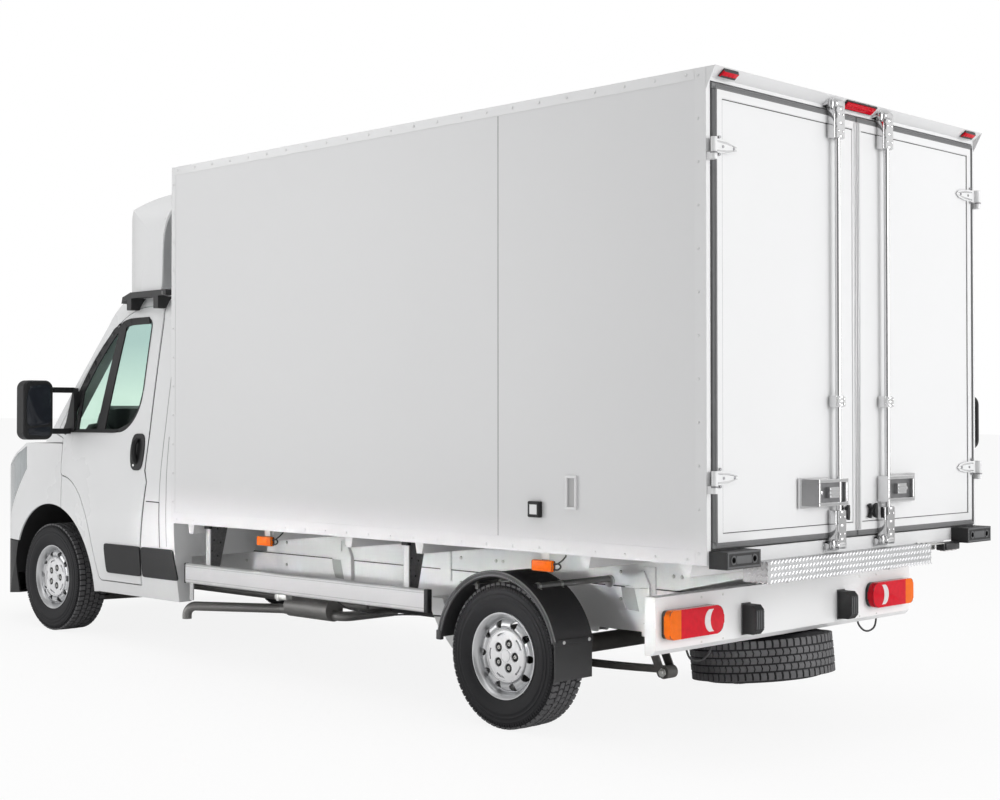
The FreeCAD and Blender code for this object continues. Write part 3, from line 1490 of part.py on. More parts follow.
def cab_inside():
    """Dashboard with its steering column and wheel, and the seats."""
    front = v.firewall_y + 0.3
    dash = yz_prism([(front, 960), (170, 960), (245, 1060), (240, 1180), (130, 1240),
                     (front, 1215)], -870, 870)
    column = Part.makeCylinder(26, 330, V(480, 130, 1120), V(0, 0.86, 0.5))
    hexagon = Part.makePolygon([V(195 + 15 * math.cos(math.radians(a)), 0,
                                  15 * math.sin(math.radians(a))) for a in range(0, 361, 60)])
    ring = Part.Face(hexagon).revolve(V(), V(0, 0, 1), 360)
    ring.rotate(V(), V(1, 0, 0), -60)
    ring.translate(V(480, 420, 1290))
    spoke = Part.makeCylinder(40, 20, V(480, 414, 1286), V(0, 0.86, 0.5))
    bars = Part.makeBox(380, 26, 14, V(290, 407, 1283))
    bars.rotate(V(480, 420, 1290), V(1, 0, 0), -60)
    whole = dash.fuse([column, ring, spoke, bars]).removeSplitter()
    node("dashboard", solid("dashboard", whole))
    seats = []
    for middle, half in ((v.driver_seat_x, 235), (-v.driver_seat_x + 115, 430)):
        low = v.rail_top + v.cab_floor_thickness
        base = box_between((middle - half + 30, middle + half - 30), (560, 980), (low + 0.3, 790))
        cushion = yz_prism([(510, 790), (1020, 780), (1040, 900), (540, 925)],
                           middle - half, middle + half)
        back = yz_prism([(985, 860), (1110, 860), (1290, 1500), (1200, 1520)],
                        middle - half, middle + half)
        head = yz_prism([(1205, 1545), (1300, 1545), (1315, 1700), (1235, 1710)],
                        middle - 130, middle + 130)
        post = box_between((middle - 60, middle + 60), (1240, 1262), (1480, 1560))
        seats.append(base.fuse([cushion, back, head, post]).removeSplitter())
    node("seats", solid("seats", Part.makeCompound(seats)))


def mirror(side):
    """Door mirror housing on two arms from the corner of the door."""
    name = "left" if side > 0 else "right"
    x, y, z = v.mirror_x, v.mirror_y, v.mirror_z
    shell = box_between((x, x + v.mirror_width), (y, y + v.mirror_depth),
                        (z - v.mirror_height / 2, z + v.mirror_height / 2))
    lengthways = [e for e in shell.Edges if abs(e.tangentAt(e.FirstParameter).y) > 0.9]
    shell = shell.makeFillet(52, lengthways)
    shell = shell.makeFillet(14, shell.Faces[0].Edges)
    arms = [Part.makeBox(x - 960, 40, 34, V(962, y + 30, z + dz)) for dz in (-150, 110)]
    sail = yz_prism([(120, 1362), (240, 1362), (240, 1610), (230, 1640)], 955, 990)
    whole = shell.fuse(arms + [sail])
    cutter = cab_form(0)
    whole = biggest(whole.cut(cutter))
    if side < 0:
        whole = flipped(whole)
    node("mirror_" + name, solid("mirror_" + name, whole))


def roof_fairing():
    """Air deflector on the cab roof: a bowed shell, open at the back."""
    def form(shrink):
        side = outline_face([
            [(300, 2100), (345, 2330), (430, 2500), (700, 2730), (1190, 2872)],
            [(1190, 2872), (1071, 2100)],
            [(1071, 2100), (300, 2100)],
        ], shrink, "YZ")
        arch = [(930, 2100), (926, 2480), (905, 2660), (800, 2790), (480, 2858), (0, 2878)]
        front = outline_face([
            arch + mirror_points(arch)[1:],
            [(-930, 2100), (930, 2100)],
        ], shrink, "XZ")
        bow = [(0, 300), (480, 360), (770, 560), (890, 800), (930, 1100)]
        plan = outline_face([
            mirror_points(bow) + bow[1:],
            [(930, 1100), (930, 1250)],
            [(930, 1250), (-930, 1250)],
            [(-930, 1250), (-930, 1100)],
        ], shrink, "XY")
        side.translate(V(-1000, 0, 0))
        return side.extrude(V(2000, 0, 0)).common(front.extrude(V(0, 2000, 0))).common(
            plan.extrude(V(0, 0, 3500)))

    hollow = form(v.sheet_wall)
    hollow = hollow.fuse(hollow.translated(V(0, 30, -8)))
    shell = form(0).cut(hollow)
    shell = shell.cut(box_between((-1200, 1200), (0, 2000), (0, v.fairing_foot)))
    node("roof_fairing", solid("roof_fairing", biggest(shell.cut(cab_form(0)))))


def fairing_brackets():
    """Black strips along the roof edges that carry the fairing on two feet each."""
    low, high = v.fairing_foot - 38, v.fairing_foot
    strip = yz_prism([(690, low - 26), (770, low), (1170, low + 4), (1170, high),
                      (790, high), (700, high - 26)], 872, 932)
    feet = [box_between((820, 932), (y - 24, y + 24), (2110, low + 4)) for y in (775, 1065)]
    left = biggest(strip.fuse(feet).cut(cab_form(0)))
    node("fairing_brackets", solid("fairing_brackets", Part.makeCompound([left, flipped(left)])))


def front_carrier():
    """Panel carrier in the nose: crash beam, posts and arms out to the skins."""
    inner = cab_form(v.sheet_wall + 0.2)
    front = v.rail_front
    low = 470
    beam = box_between((-620, 620), (front - 80, front), (low, 590))
    posts = [box_between((x - 25, x + 25), (front - 80, front - 30), (low, 880)) for x in (-560, 560)]
    top_beam = box_between((-680, 680), (front - 80, front - 30), (850, 888))
    arms = [box_between((-330, -290), (-1000, front - 40), (500, 560)),
            box_between((290, 330), (-1000, front - 40), (500, 560)),
            box_between((-430, -400), (-1000, front - 40), (858, 884)),
            box_between((400, 430), (-1000, front - 40), (858, 884)),
            box_between((-1200, 1200), (front - 70, front - 40), (854, 884)),
            box_between((-1200, 1200), (front + 120, front + 150), (700, 730))]
    side = box_between((560, 585), (front - 50, front + 150), (700, 730))
    stops = [box_between((x - 12, x + 12), (front - 70, front - 40), (880, 1300))
             for x in (-520, 520)]
    frame = beam.fuse(posts + [top_beam, side, flipped(side)] + arms)
    frame = frame.cut(box_between((-558, 558), (front + 100, front + 200), (600, 900)))
    whole = frame.fuse([stop.common(cab_form(v.sheet_wall + v.running_gap)) for stop in stops])
    whole = biggest(whole.common(inner).cut(wheel_arch(v.liner_wall + 0.3)))
    return node("front_carrier", solid("carrier", whole))


def wheel_arch(margin=0):
    """The room that the front wheels steer in."""
    radius = v.arch_radius + margin
    arch = Part.makeCylinder(radius, 3000, V(-1500, v.arch_y, v.arch_z), V(1, 0, 0))
    low = box_between((-1500, 1500), (v.arch_y - radius, v.arch_y + radius), (0, v.arch_z))
    return arch.fuse(low)


def arch_liners():
    """Moulded liners over the front wheels, closed towards the engine."""
    thick = v.liner_wall
    side = v.wheelhouse_x + 6
    start = V(side - thick, v.arch_y, v.arch_z)
    reach = 1200 - side
    outer = Part.makeCylinder(v.arch_radius + thick, reach, start, V(1, 0, 0))
    inner = Part.makeCylinder(v.arch_radius + 0.5, reach, start + V(thick, 0, 0), V(1, 0, 0))
    liner = outer.cut(inner)
    keep = box_between((0, 1200), (-900, v.firewall_y - v.firewall_thickness - 0.3),
                       (v.arch_z, 900))
    low_wall = box_between((0, side + 1), (-900, 0), (0, v.rail_top + 14))
    liner = liner.common(keep).cut(low_wall).common(cab_form(v.sheet_wall + 0.3))
    liner = biggest(liner)
    return node("arch_liners", solid("liners", Part.makeCompound([liner, flipped(liner)])))


def header_marker():
    """Red lamp that lies on the slanted underside of the header."""
    start = V(0, v.box_front + v.box_length,
              v.box_bottom + v.box_height - v.header_slant + v.frame_header)
    run = V(0, v.header_reach, v.header_slant - v.frame_header)
    out = V(0, run.z, -run.y)
    out.normalize()
    corners = [start + run * 0.2 + out * 0.3, start + run * 0.9 + out * 0.3,
               start + run * 0.8 + out * 14, start + run * 0.3 + out * 14]
    return solid("header_marker", yz_prism([(c.y, c.z) for c in corners], 948, 1046))


def lamps():
    """Tail lamps on the bar, amber side lamps under the box and red lamps on the header."""
    lamp = prism("tail_lamp", "XZ", [
        (s.lamp_inner, s.lamp_bottom),
        (s.lamp_outer, s.lamp_bottom),
        (s.lamp_outer, s.lamp_top),
        (s.lamp_inner, s.lamp_top),
    ], (s.underrun_y, s.underrun_y + s.lamp_depth), [(46, (0, 3)), (22, (1, 2))])
    pieces = [lamp]
    for number, y in enumerate((2262, 4304)):
        tab = block("amber_tab_%d" % number, (1048, 1051), (y + 38, y + 84),
                    (s.box_bottom - 50, s.box_bottom))
        body = prism("amber_%d" % number, "YZ", [
            (y, s.box_bottom - 86),
            (y + 122, s.box_bottom - 86),
            (y + 122, s.box_bottom - 38),
            (y, s.box_bottom - 38),
        ], (1051, 1078), [(8, (0, 1, 2, 3))])
        pieces.append(join("amber_lamp_%d" % number, tab, body))
    pieces.append(header_marker())
    sides = pieces + [mirrored(piece) for piece in pieces]
    return node("lamps", group("lamp_set", *sides))


def grab_handle():
    """Bent handle on the right rear post."""
    x, y = -v.box_half_width, v.box_front + v.box_length - v.handle_inset
    low, high = v.handle_low, v.handle_high
    feet = [box_between((x - 14, x), (y - 14, y + 14), (z - 26, z + 26)) for z in (low, high)]
    bar = bent_tube([(x - 6, y, low), (x - v.handle_reach, y, low + 30),
                     (x - v.handle_reach, y, high - 30), (x - 6, y, high)], 10, 34)
    return node("grab_handle", solid("handle", bar.fuse(feet).removeSplitter()))


def build():
    wheels()
    knuckle(1)
    knuckle(-1)
    rear_axle()
    chassis_rails()
    crossmembers()
    leaf_springs()
    subframe_beams()
    cross_bearers()
    underrun_bar()
    rear_buffers()
    side_guards()
    rear_mudguards()
    fuel_tank()
    exhaust()
    spare_wheel()
    front_suspension()
    engine()
    box_shell()
    rear_frame()
    rear_step()
    lamps()
    grab_handle()
    for side in (1, -1):
        rear_door(side)
        rear_lock(side)
        mirror(side)
    cab()
    front_carrier()
    arch_liners()
    cab_floor()
    cab_inside()
    roof_fairing()
    fairing_brackets()


def check_and_write():
    """Stops at any failed object, then writes one file per node."""
    doc.recompute()
    for thing in doc.Objects:
        if "Invalid" in thing.State or "Error" in thing.State:
            raise RuntimeError("%s failed: %s" % (thing.Label, thing.State))
    os.makedirs("parts", exist_ok=True)
    for piece in nodes:
        shape = piece.Shape
        if shape.isNull() or not shape.isValid() or not shape.Solids:
            raise RuntimeError("%s has no valid solid" % piece.Label)
        shape.exportStep("parts/%s.step" % piece.Label)
    print(len(nodes), "nodes written")


write_sheet()
build()
check_and_write()
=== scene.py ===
"""Looks of a refrigerated truck: a light chassis cab with an insulated box on its frame."""

import math
import bmesh
import bpy
from mathutils import Matrix, Vector
from mathutils.bvhtree import BVHTree


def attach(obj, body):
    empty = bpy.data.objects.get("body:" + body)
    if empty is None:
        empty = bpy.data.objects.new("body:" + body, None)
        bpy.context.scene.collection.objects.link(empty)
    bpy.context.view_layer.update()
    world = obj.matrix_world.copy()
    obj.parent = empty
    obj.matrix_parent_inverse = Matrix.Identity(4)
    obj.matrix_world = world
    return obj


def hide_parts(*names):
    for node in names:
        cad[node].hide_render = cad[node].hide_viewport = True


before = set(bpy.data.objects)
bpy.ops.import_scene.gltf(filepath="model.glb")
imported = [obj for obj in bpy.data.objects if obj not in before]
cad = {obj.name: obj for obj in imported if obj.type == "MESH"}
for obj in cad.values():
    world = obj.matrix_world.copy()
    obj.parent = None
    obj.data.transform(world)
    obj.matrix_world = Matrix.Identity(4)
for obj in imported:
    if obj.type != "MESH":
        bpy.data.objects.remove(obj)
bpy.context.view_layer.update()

# Studio
# A pale floor that runs up into a pale backdrop, soft light from above, behind and the right,
# and the camera where the photographer stood, behind the truck's left corner.

def in_scene(name, data):
    """A new object in the scene."""
    thing = bpy.data.objects.new(name, data)
    bpy.context.scene.collection.objects.link(thing)
    return thing


def feed(node, feeds):
    """Sets a node's inputs: each takes a plain value, or the socket that drives it."""
    for label, value in feeds.items():
        if isinstance(value, bpy.types.NodeSocket):
            node.id_data.links.new(value, node.inputs[label])
        else:
            node.inputs[label].default_value = value
    return node


def add_node(tree, kind, feeds=None, **settings):
    """A new node with its settings and its inputs."""
    node = tree.nodes.new(kind)
    for label, value in settings.items():
        setattr(node, label, value)
    return feed(node, feeds or {})


def worked(tree, operation, one, two):
    """What an operation makes of two sockets or values."""
    return add_node(tree, "ShaderNodeMath", {0: one, 1: two}, operation=operation).outputs[0]


def seen_straight(tree):
    """One where the camera looks straight at a thing or through glass at it, otherwise zero."""
    rays = add_node(tree, "ShaderNodeLightPath").outputs
    return worked(tree, "MAXIMUM", rays["Is Camera Ray"], rays["Is Transmission Ray"])


def pale_cloth(name, shade, white_share=0.88):
    """Matt studio card that the camera sees as white, with the truck's own shadow kept."""
    card = bpy.data.materials.new(name)
    card.use_nodes = True
    tree = card.node_tree
    shader = feed(tree.nodes["Principled BSDF"], {
        "Base Color": (shade, shade, shade, 1), "Roughness": 0.9, "Specular IOR Level": 0.1})
    glow = add_node(tree, "ShaderNodeEmission", {"Strength": 1.0})
    mix = add_node(tree, "ShaderNodeMixShader", {
        0: worked(tree, "MULTIPLY", seen_straight(tree), white_share),
        1: shader.outputs[0], 2: glow.outputs[0]})
    feed(tree.nodes["Material Output"], {0: mix.outputs[0]})
    return card


FLOOR_REACH = 60
floor_mesh = bpy.data.meshes.new("studio_floor")
floor_mesh.from_pydata([(x * FLOOR_REACH, y * FLOOR_REACH, 0) for x, y in
                        ((-1, -1), (1, -1), (1, 1), (-1, 1))], [], [(0, 1, 2, 3)])
studio_floor = in_scene("studio_floor", floor_mesh)
floor_mesh.materials.append(pale_cloth("floor card", 0.86))

world = bpy.data.worlds.new("studio air")
bpy.context.scene.world = world
world.use_nodes = True
sky = world.node_tree
around = add_node(sky, "ShaderNodeTexCoord").outputs["Generated"]
bearing = add_node(sky, "ShaderNodeTexGradient", {"Vector": around}, gradient_type="RADIAL")
panels = add_node(sky, "ShaderNodeValToRGB", {"Fac": bearing.outputs["Fac"]})
stops = panels.color_ramp.elements
for number, (share, shade) in enumerate(((0.0, 0.85), (0.12, 0.80), (0.22, 0.55), (0.30, 0.75),
                                         (0.36, 0.30), (0.44, 0.22), (0.50, 0.62), (0.55, 0.20),
                                         (0.63, 0.16), (0.67, 0.85), (0.78, 0.95), (0.83, 0.30),
                                         (0.88, 1.00), (1.0, 0.85))):
    stop = stops[number] if number < 2 else stops.new(share)
    stop.position = share
    stop.color = (shade, shade, shade, 1)
level_of_light = add_node(sky, "ShaderNodeMix", {
    0: seen_straight(sky), 2: panels.outputs["Color"], 3: 1.0})
feed(sky.nodes["Background"], {"Color": (1, 1, 1, 1), "Strength": level_of_light.outputs[0]})


def soft_box(name, place, aim, width, power, height=None, spread=180):
    """A large lamp turned to a point: square, or a strip of a given height and spread."""
    lamp = bpy.data.lights.new(name, "AREA")
    lamp.shape = "RECTANGLE"
    lamp.size = width
    lamp.size_y = height or width
    lamp.spread = math.radians(spread)
    lamp.energy = power
    holder = in_scene(name, lamp)
    holder.location = place
    holder.rotation_euler = (Vector(aim) - Vector(place)).to_track_quat("-Z", "Y").to_euler()


soft_box("lamp behind", (-3.5, 13.0, 3.6), (0, 3, 1.4), 6.0, 600)
soft_box("lamp above", (2.0, 1.0, 9.5), (0, 0, 0), 8.0, 300)
soft_box("lamp front left", (9.0, -7.0, 2.6), (0, -1, 0.9), 6.0, 330)
soft_box("strip lamp for the frame", (9.0, 1.2, 1.45), (0.45, 1.2, 0.60), 4.6, 3.2, 0.15, 5)

bpy.context.scene.view_settings.view_transform = "Standard"
SENSOR_WIDTH, FOCAL_PIXELS, PICTURE_PIXELS = 36, 1607.4, 1000
CAMERA_AT = (6.3527, 7.0451, 1.5753)
YAW, PITCH, ROLL = 0.7959, -0.0005, 0.0159
camera_data = bpy.data.cameras.new("camera")
camera_data.lens = FOCAL_PIXELS * SENSOR_WIDTH / PICTURE_PIXELS
camera_data.sensor_width = SENSOR_WIDTH
camera_data.shift_x = -0.00378
camera_data.shift_y = -0.00777
camera_data.clip_end = 200
camera = in_scene("camera", camera_data)
ahead = Vector((-math.sin(YAW) * math.cos(PITCH), -math.cos(YAW) * math.cos(PITCH),
                math.sin(PITCH)))
right = ahead.cross(Vector((0, 0, 1))).normalized()
above = right.cross(ahead)
right, above = (right * math.cos(ROLL) + above * math.sin(ROLL),
                above * math.cos(ROLL) - right * math.sin(ROLL))
camera.matrix_world = Matrix.Translation(CAMERA_AT) @ Matrix(
    (right, above, -ahead)).transposed().to_4x4()
bpy.context.scene.camera = camera

# Chassis rails, cross-members and sub-frame
# Pressed steel channels under a welded sub-frame, sprayed pale grey together with the spring
# hangers, with road dust that thickens towards the ground. Everything sprung stands nose down on
# its springs, which is why its sizes are written level and then tilted.

LEAN = math.radians(1.295)
FRONT_AXLE_Y, WHEELBASE, REAR_PIVOT_Z = -2.222, 4.035, 0.35
SIDES = ((1, "left"), (-1, "right"))
tilt = Matrix.Translation(
    (0, FRONT_AXLE_Y + WHEELBASE * (1 - math.cos(LEAN)) + REAR_PIVOT_Z * math.sin(LEAN),
     REAR_PIVOT_Z * (1 - math.cos(LEAN)) - WHEELBASE * math.sin(LEAN))) @ \
    Matrix.Rotation(LEAN, 4, "X")


def finish(name, colour, rough, metal=0.0, coat=0.0, mottle=0.04, mottle_size=3.0,
           grain=0.0, grain_size=300.0, dust=0.0, dust_top=0.8, stretch=(1, 1, 1),
           shine=0.5):
    """Paint, plastic, rubber or metal: a colour that wanders a little, road dust that thickens
    towards the ground, uneven gloss and a fine surface grain."""
    made = bpy.data.materials.new(name)
    made.use_nodes = True
    tree = made.node_tree
    place = add_node(tree, "ShaderNodeTexCoord").outputs["Object"]
    turned = add_node(tree, "ShaderNodeMapping", {"Vector": place, "Scale": stretch}).outputs[0]
    cloud = add_node(tree, "ShaderNodeTexNoise", {
        "Vector": turned, "Scale": mottle_size, "Detail": 5}).outputs["Fac"]
    last = add_node(tree, "ShaderNodeMix", {
        0: cloud, 6: (*[c * (1 - mottle) for c in colour], 1),
        7: (*[min(1, c * (1 + mottle)) for c in colour], 1)}, data_type="RGBA").outputs[2]
    if dust:
        height = add_node(tree, "ShaderNodeSeparateXYZ", {0: place}).outputs["Z"]
        low = add_node(tree, "ShaderNodeMapRange", {
            "Value": height, "From Min": dust_top, "From Max": 0.05, "To Max": dust}).outputs[0]
        drift = add_node(tree, "ShaderNodeTexNoise", {
            "Vector": place, "Scale": 9, "Detail": 7}).outputs["Fac"]
        last = add_node(tree, "ShaderNodeMix", {
            0: worked(tree, "MULTIPLY", low, drift), 6: last, 7: (0.36, 0.34, 0.31, 1)},
            data_type="RGBA").outputs[2]
    gloss = add_node(tree, "ShaderNodeMapRange", {
        "Value": cloud, "To Min": max(0.02, rough - 0.06), "To Max": min(1.0, rough + 0.08)})
    shader = feed(tree.nodes["Principled BSDF"], {
        "Base Color": last, "Roughness": gloss.outputs[0], "Metallic": metal,
        "Coat Weight": coat, "Specular IOR Level": shine, "Coat Roughness": 0.06})
    if grain:
        fine = add_node(tree, "ShaderNodeTexNoise", {
            "Vector": turned, "Scale": grain_size, "Detail": 3}).outputs["Fac"]
        relief = add_node(tree, "ShaderNodeBump", {
            "Strength": grain, "Distance": 0.001, "Height": fine})
        feed(shader, {"Normal": relief.outputs[0]})
    return made


def dress(material, *names):
    """Gives CAD nodes their finish."""
    for name in names:
        cad[name].data.materials.clear()
        cad[name].data.materials.append(material)


def as_mesh(shape, name, outward=True):
    """A bmesh as a plain mesh, its faces turned outwards; the bmesh goes."""
    if outward:
        bmesh.ops.recalc_face_normals(shape, faces=shape.faces)
    mesh = bpy.data.meshes.new(name)
    shape.to_mesh(mesh)
    shape.free()
    return mesh


def placed(name, shape, material, body, level=True, smooth=False):
    """Makes a finished mesh of a bmesh, or of a ready mesh, and lets it ride on its body."""
    mesh = as_mesh(shape, name) if isinstance(shape, bmesh.types.BMesh) else shape
    if level:
        mesh.transform(tilt)
    thing = in_scene(name, mesh)
    if not mesh.materials:
        mesh.materials.append(material)
    if smooth:
        mesh.shade_smooth()
        mesh.set_sharp_from_angle(angle=math.radians(35))
    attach(thing, body)
    return thing


def add_block(shape, x, y, z, edge=0.002, steps=2):
    """A block from its limits, its edges rounded."""
    made = bmesh.ops.create_cube(shape, size=1)
    corners = made["verts"]
    bmesh.ops.scale(shape, verts=corners, vec=(x[1] - x[0], y[1] - y[0], z[1] - z[0]))
    bmesh.ops.translate(shape, verts=corners,
                        vec=((x[0] + x[1]) / 2, (y[0] + y[1]) / 2, (z[0] + z[1]) / 2))
    edges = {e for corner in corners for e in corner.link_edges}
    if edge:
        bmesh.ops.bevel(shape, geom=list(edges), offset=edge, segments=steps, profile=0.5,
                        affect="EDGES")


def of_blocks(name, rows, material, body, smooth=False):
    """A piece of rounded blocks, from rows of limits in x, y and z, edge and steps."""
    shape = bmesh.new()
    for row in rows:
        add_block(shape, *row)
    return placed(name, shape, material, body, smooth=smooth)


def span(side, a, b):
    """Limits in x on one side of the truck, the lower one first."""
    return sorted((side * a, side * b))


def add_push(shape, outline, low, high, axis="x", edge=0.0, steps=2):
    """An outline pushed along an axis, with rounded rims. Its points are (y, z) for the x axis,
    (x, z) for the y axis and (x, y) for the z axis."""
    def at(point, along):
        if axis == "x":
            return (along, point[0], point[1])
        if axis == "y":
            return (point[0], along, point[1])
        return (point[0], point[1], along)
    near = [shape.verts.new(at(p, low)) for p in outline]
    far = [shape.verts.new(at(p, high)) for p in outline]
    count = len(outline)
    faces = [shape.faces.new(near), shape.faces.new(far[::-1])]
    for i in range(count):
        faces.append(shape.faces.new((near[i], far[i], far[(i + 1) % count],
                                      near[(i + 1) % count])))
    if edge:
        rims = [e for e in {e for f in faces[:2] for e in f.edges}]
        bmesh.ops.bevel(shape, geom=rims, offset=edge, segments=steps, profile=0.5,
                        affect="EDGES")


def add_tube(shape, points, radius, sides=12):
    """A round bar along a line of points."""
    points = [Vector(p) for p in points]
    rings = []
    normal = None
    for i, point in enumerate(points):
        ahead_dir = (points[min(i + 1, len(points) - 1)] - points[max(i - 1, 0)]).normalized()
        if normal is None:
            normal = ahead_dir.orthogonal().normalized()
        else:
            normal = (normal - ahead_dir * normal.dot(ahead_dir)).normalized()
        other = ahead_dir.cross(normal)
        size = radius[i] if isinstance(radius, (list, tuple)) else radius
        rings.append([shape.verts.new(point + (normal * math.cos(a) + other * math.sin(a)) * size)
                      for a in (2 * math.pi * k / sides for k in range(sides))])
    for one, two in zip(rings, rings[1:]):
        for k in range(sides):
            shape.faces.new((one[k], one[(k + 1) % sides], two[(k + 1) % sides], two[k]))
    shape.faces.new(rings[0][::-1])
    shape.faces.new(rings[-1])


def add_turned(shape, profile, centre, axis, steps=48):
    """A turned part: (distance along, radius) pairs spun about an axis through a point."""
    axis = Vector(axis).normalized()
    side = axis.orthogonal().normalized()
    other = axis.cross(side)
    centre = Vector(centre)
    rings = []
    for along, radius in profile:
        if radius < 1e-6:
            rings.append([shape.verts.new(centre + axis * along)])
            continue
        rings.append([shape.verts.new(centre + axis * along +
                                      (side * math.cos(a) + other * math.sin(a)) * radius)
                      for a in (2 * math.pi * k / steps for k in range(steps))])
    for one, two in zip(rings, rings[1:]):
        for k in range(steps):
            n = (k + 1) % steps
            if len(one) == 1 and len(two) == 1:
                continue
            if len(one) == 1:
                shape.faces.new((one[0], two[k], two[n]))
            elif len(two) == 1:
                shape.faces.new((one[k], two[0], one[n]))
            else:
                shape.faces.new((one[k], two[k], two[n], one[n]))


def plain_mesh(thing, name):
    """The evaluated object as a plain mesh; the object itself goes."""
    bpy.context.view_layer.update()
    graph = bpy.context.evaluated_depsgraph_get()
    mesh = bpy.data.meshes.new_from_object(thing.evaluated_get(graph))
    mesh.name = name
    bpy.data.objects.remove(thing)
    return mesh


def tree_with(name, sockets):
    """A geometry node tree with named inputs; gives the tree, its input and its output."""
    tree = bpy.data.node_groups.new(name, "GeometryNodeTree")
    tree.interface.new_socket("Geometry", in_out="INPUT", socket_type="NodeSocketGeometry")
    for label, kind in sockets:
        tree.interface.new_socket(label, in_out="INPUT", socket_type="NodeSocket" + kind)
    tree.interface.new_socket("Geometry", in_out="OUTPUT", socket_type="NodeSocketGeometry")
    return tree, tree.nodes.new("NodeGroupInput"), tree.nodes.new("NodeGroupOutput")


def grown(mesh, tree, values, name):
    """Runs a geometry node tree on a mesh and gives the plain mesh that it makes."""
    thing = in_scene(name, mesh)
    modifier = thing.modifiers.new("grow", "NODES")
    modifier.node_group = tree
    for item in tree.interface.items_tree:
        if item.in_out == "INPUT" and item.name in values:
            modifier[item.identifier] = values[item.name]
    return plain_mesh(thing, name)


def painted(tree, shapes, start, end):
    """Ends a tree: its instances are made real and get the finish that the tree is given."""
    real = add_node(tree, "GeometryNodeRealizeInstances", {0: shapes})
    paint = add_node(tree, "GeometryNodeSetMaterial", {
        0: real.outputs[0], "Material": start.outputs["Finish"]})
    feed(end, {0: paint.outputs[0]})
    return tree


def rivet_line_tree():
    """Rivet heads at an even spacing along the edges of a mesh, all facing one way."""
    tree, start, end = tree_with("rivet line", [
        ("Spacing", "Float"), ("Head Radius", "Float"), ("Head Height", "Float"),
        ("Facing", "Vector"), ("Sides", "Int"), ("Finish", "Material")])
    given = start.outputs
    curve = add_node(tree, "GeometryNodeMeshToCurve", {0: given["Geometry"]})
    spots = add_node(tree, "GeometryNodeCurveToPoints", {
        "Curve": curve.outputs[0], "Length": given["Spacing"]}, mode="LENGTH")
    head = add_node(tree, "GeometryNodeMeshCone", {
        "Vertices": given["Sides"], "Radius Bottom": given["Head Radius"],
        "Radius Top": worked(tree, "MULTIPLY", given["Head Radius"], 0.55),
        "Depth": given["Head Height"]})
    turn = add_node(tree, "FunctionNodeAlignRotationToVector", {"Vector": given["Facing"]},
                    axis="Z")
    put = add_node(tree, "GeometryNodeInstanceOnPoints", {
        "Points": spots.outputs["Points"], "Instance": head.outputs[0],
        "Rotation": turn.outputs[0]})
    return painted(tree, put.outputs[0], start, end)


rivet_lines = rivet_line_tree()


def fastened(name, lines, facing, material, body, slot, spacing=0.16, radius=0.0055,
             height=0.003, sides=12):
    """A set of rivets or screws along straight lines of the level truck, as one piece."""
    mesh = bpy.data.meshes.new(name)
    points = [tilt @ Vector(p) for one in lines for p in one]
    mesh.from_pydata(points, [(2 * i, 2 * i + 1) for i in range(len(lines))], [])
    made = grown(mesh, rivet_lines, {
        "Spacing": spacing, "Head Radius": radius, "Head Height": height,
        "Facing": tuple((tilt.to_3x3() @ Vector(facing))), "Sides": sides,
        "Finish": material}, name)
    return placed(name, made, material, body, level=False)


frame_grey = finish("pale frame paint", (0.80, 0.80, 0.80), 0.45, mottle=0.05, dust=0.22,
                    dust_top=0.75)
dress(frame_grey, "chassis_rails", "crossmembers", "subframe_beams", "cross_bearers")
zinc = finish("zinc screws", (0.62, 0.62, 0.60), 0.34, metal=1.0, mottle=0.12, mottle_size=60)


for side, word in SIDES:
    lines = [((side * 0.448, y, z), (side * 0.448, y + 0.05, z))
             for y in (1.33, 1.72, 3.20, 3.46, 4.30, 4.62) for z in (0.715, 0.585)]
    fastened("frame_bolts_" + word, lines, (side, 0, 0), zinc, "truck", "frame_paint",
             spacing=0.05, radius=0.011, height=0.010, sides=6)

# Springs, axles, hub carriers and front suspension
# Leaf springs and axle in black chassis paint, cast hub carriers and drums left raw and dull,
# all under a film of road dirt.

chassis_black = finish("black chassis paint", (0.022, 0.022, 0.023), 0.5, mottle=0.3,
                       mottle_size=8, dust=0.5, dust_top=0.7, grain=0.3, grain_size=220)
raw_casting = finish("raw casting", (0.055, 0.052, 0.05), 0.62, metal=0.5, mottle=0.35,
                     mottle_size=14, dust=0.4, dust_top=0.6, grain=0.5, grain_size=160)
dress(chassis_black, "leaf_springs", "front_suspension", "fairing_brackets", "front_carrier")
dress(raw_casting, "knuckle_left", "knuckle_right", "rear_axle", "engine")

u_bolts = bmesh.new()
for side in (1, -1):
    for y in (3.975, 4.095):
        for x in (0.60, 0.665):
            add_turned(u_bolts, [(-0.03, 0), (-0.03, 0.011), (0.0, 0.011), (0.0, 0.008),
                                 (0.03, 0.008), (0.03, 0)], (side * x, y, 0.252), (0, 0, 1), 12)
placed("spring_nuts", u_bolts, zinc, "truck", smooth=True)

# Wheels
# Commercial tyres on silver steel rims: a carcass with grooves all round, tread blocks in five
# ribs that stand on it, and a ring cap with five recessed wheel bolts.

tyre_rubber = finish("tyre rubber", (0.014, 0.014, 0.016), 0.62, mottle=0.25, mottle_size=10,
                     grain=0.25, grain_size=260, shine=0.3)
tread_rubber = finish("worn tread rubber", (0.105, 0.104, 0.108), 0.6, mottle=0.35,
                      mottle_size=22, grain=0.3, grain_size=240)
wheel_silver = finish("wheel silver", (0.60, 0.605, 0.615), 0.33, metal=0.75, mottle=0.05,
                      mottle_size=12, coat=0.3, grain=0.08, grain_size=500)
TYRE_RADIUS = 0.341
TYRE_HALF = 0.1075
GROOVE = 0.0085
BLOCKS_ROUND = 62


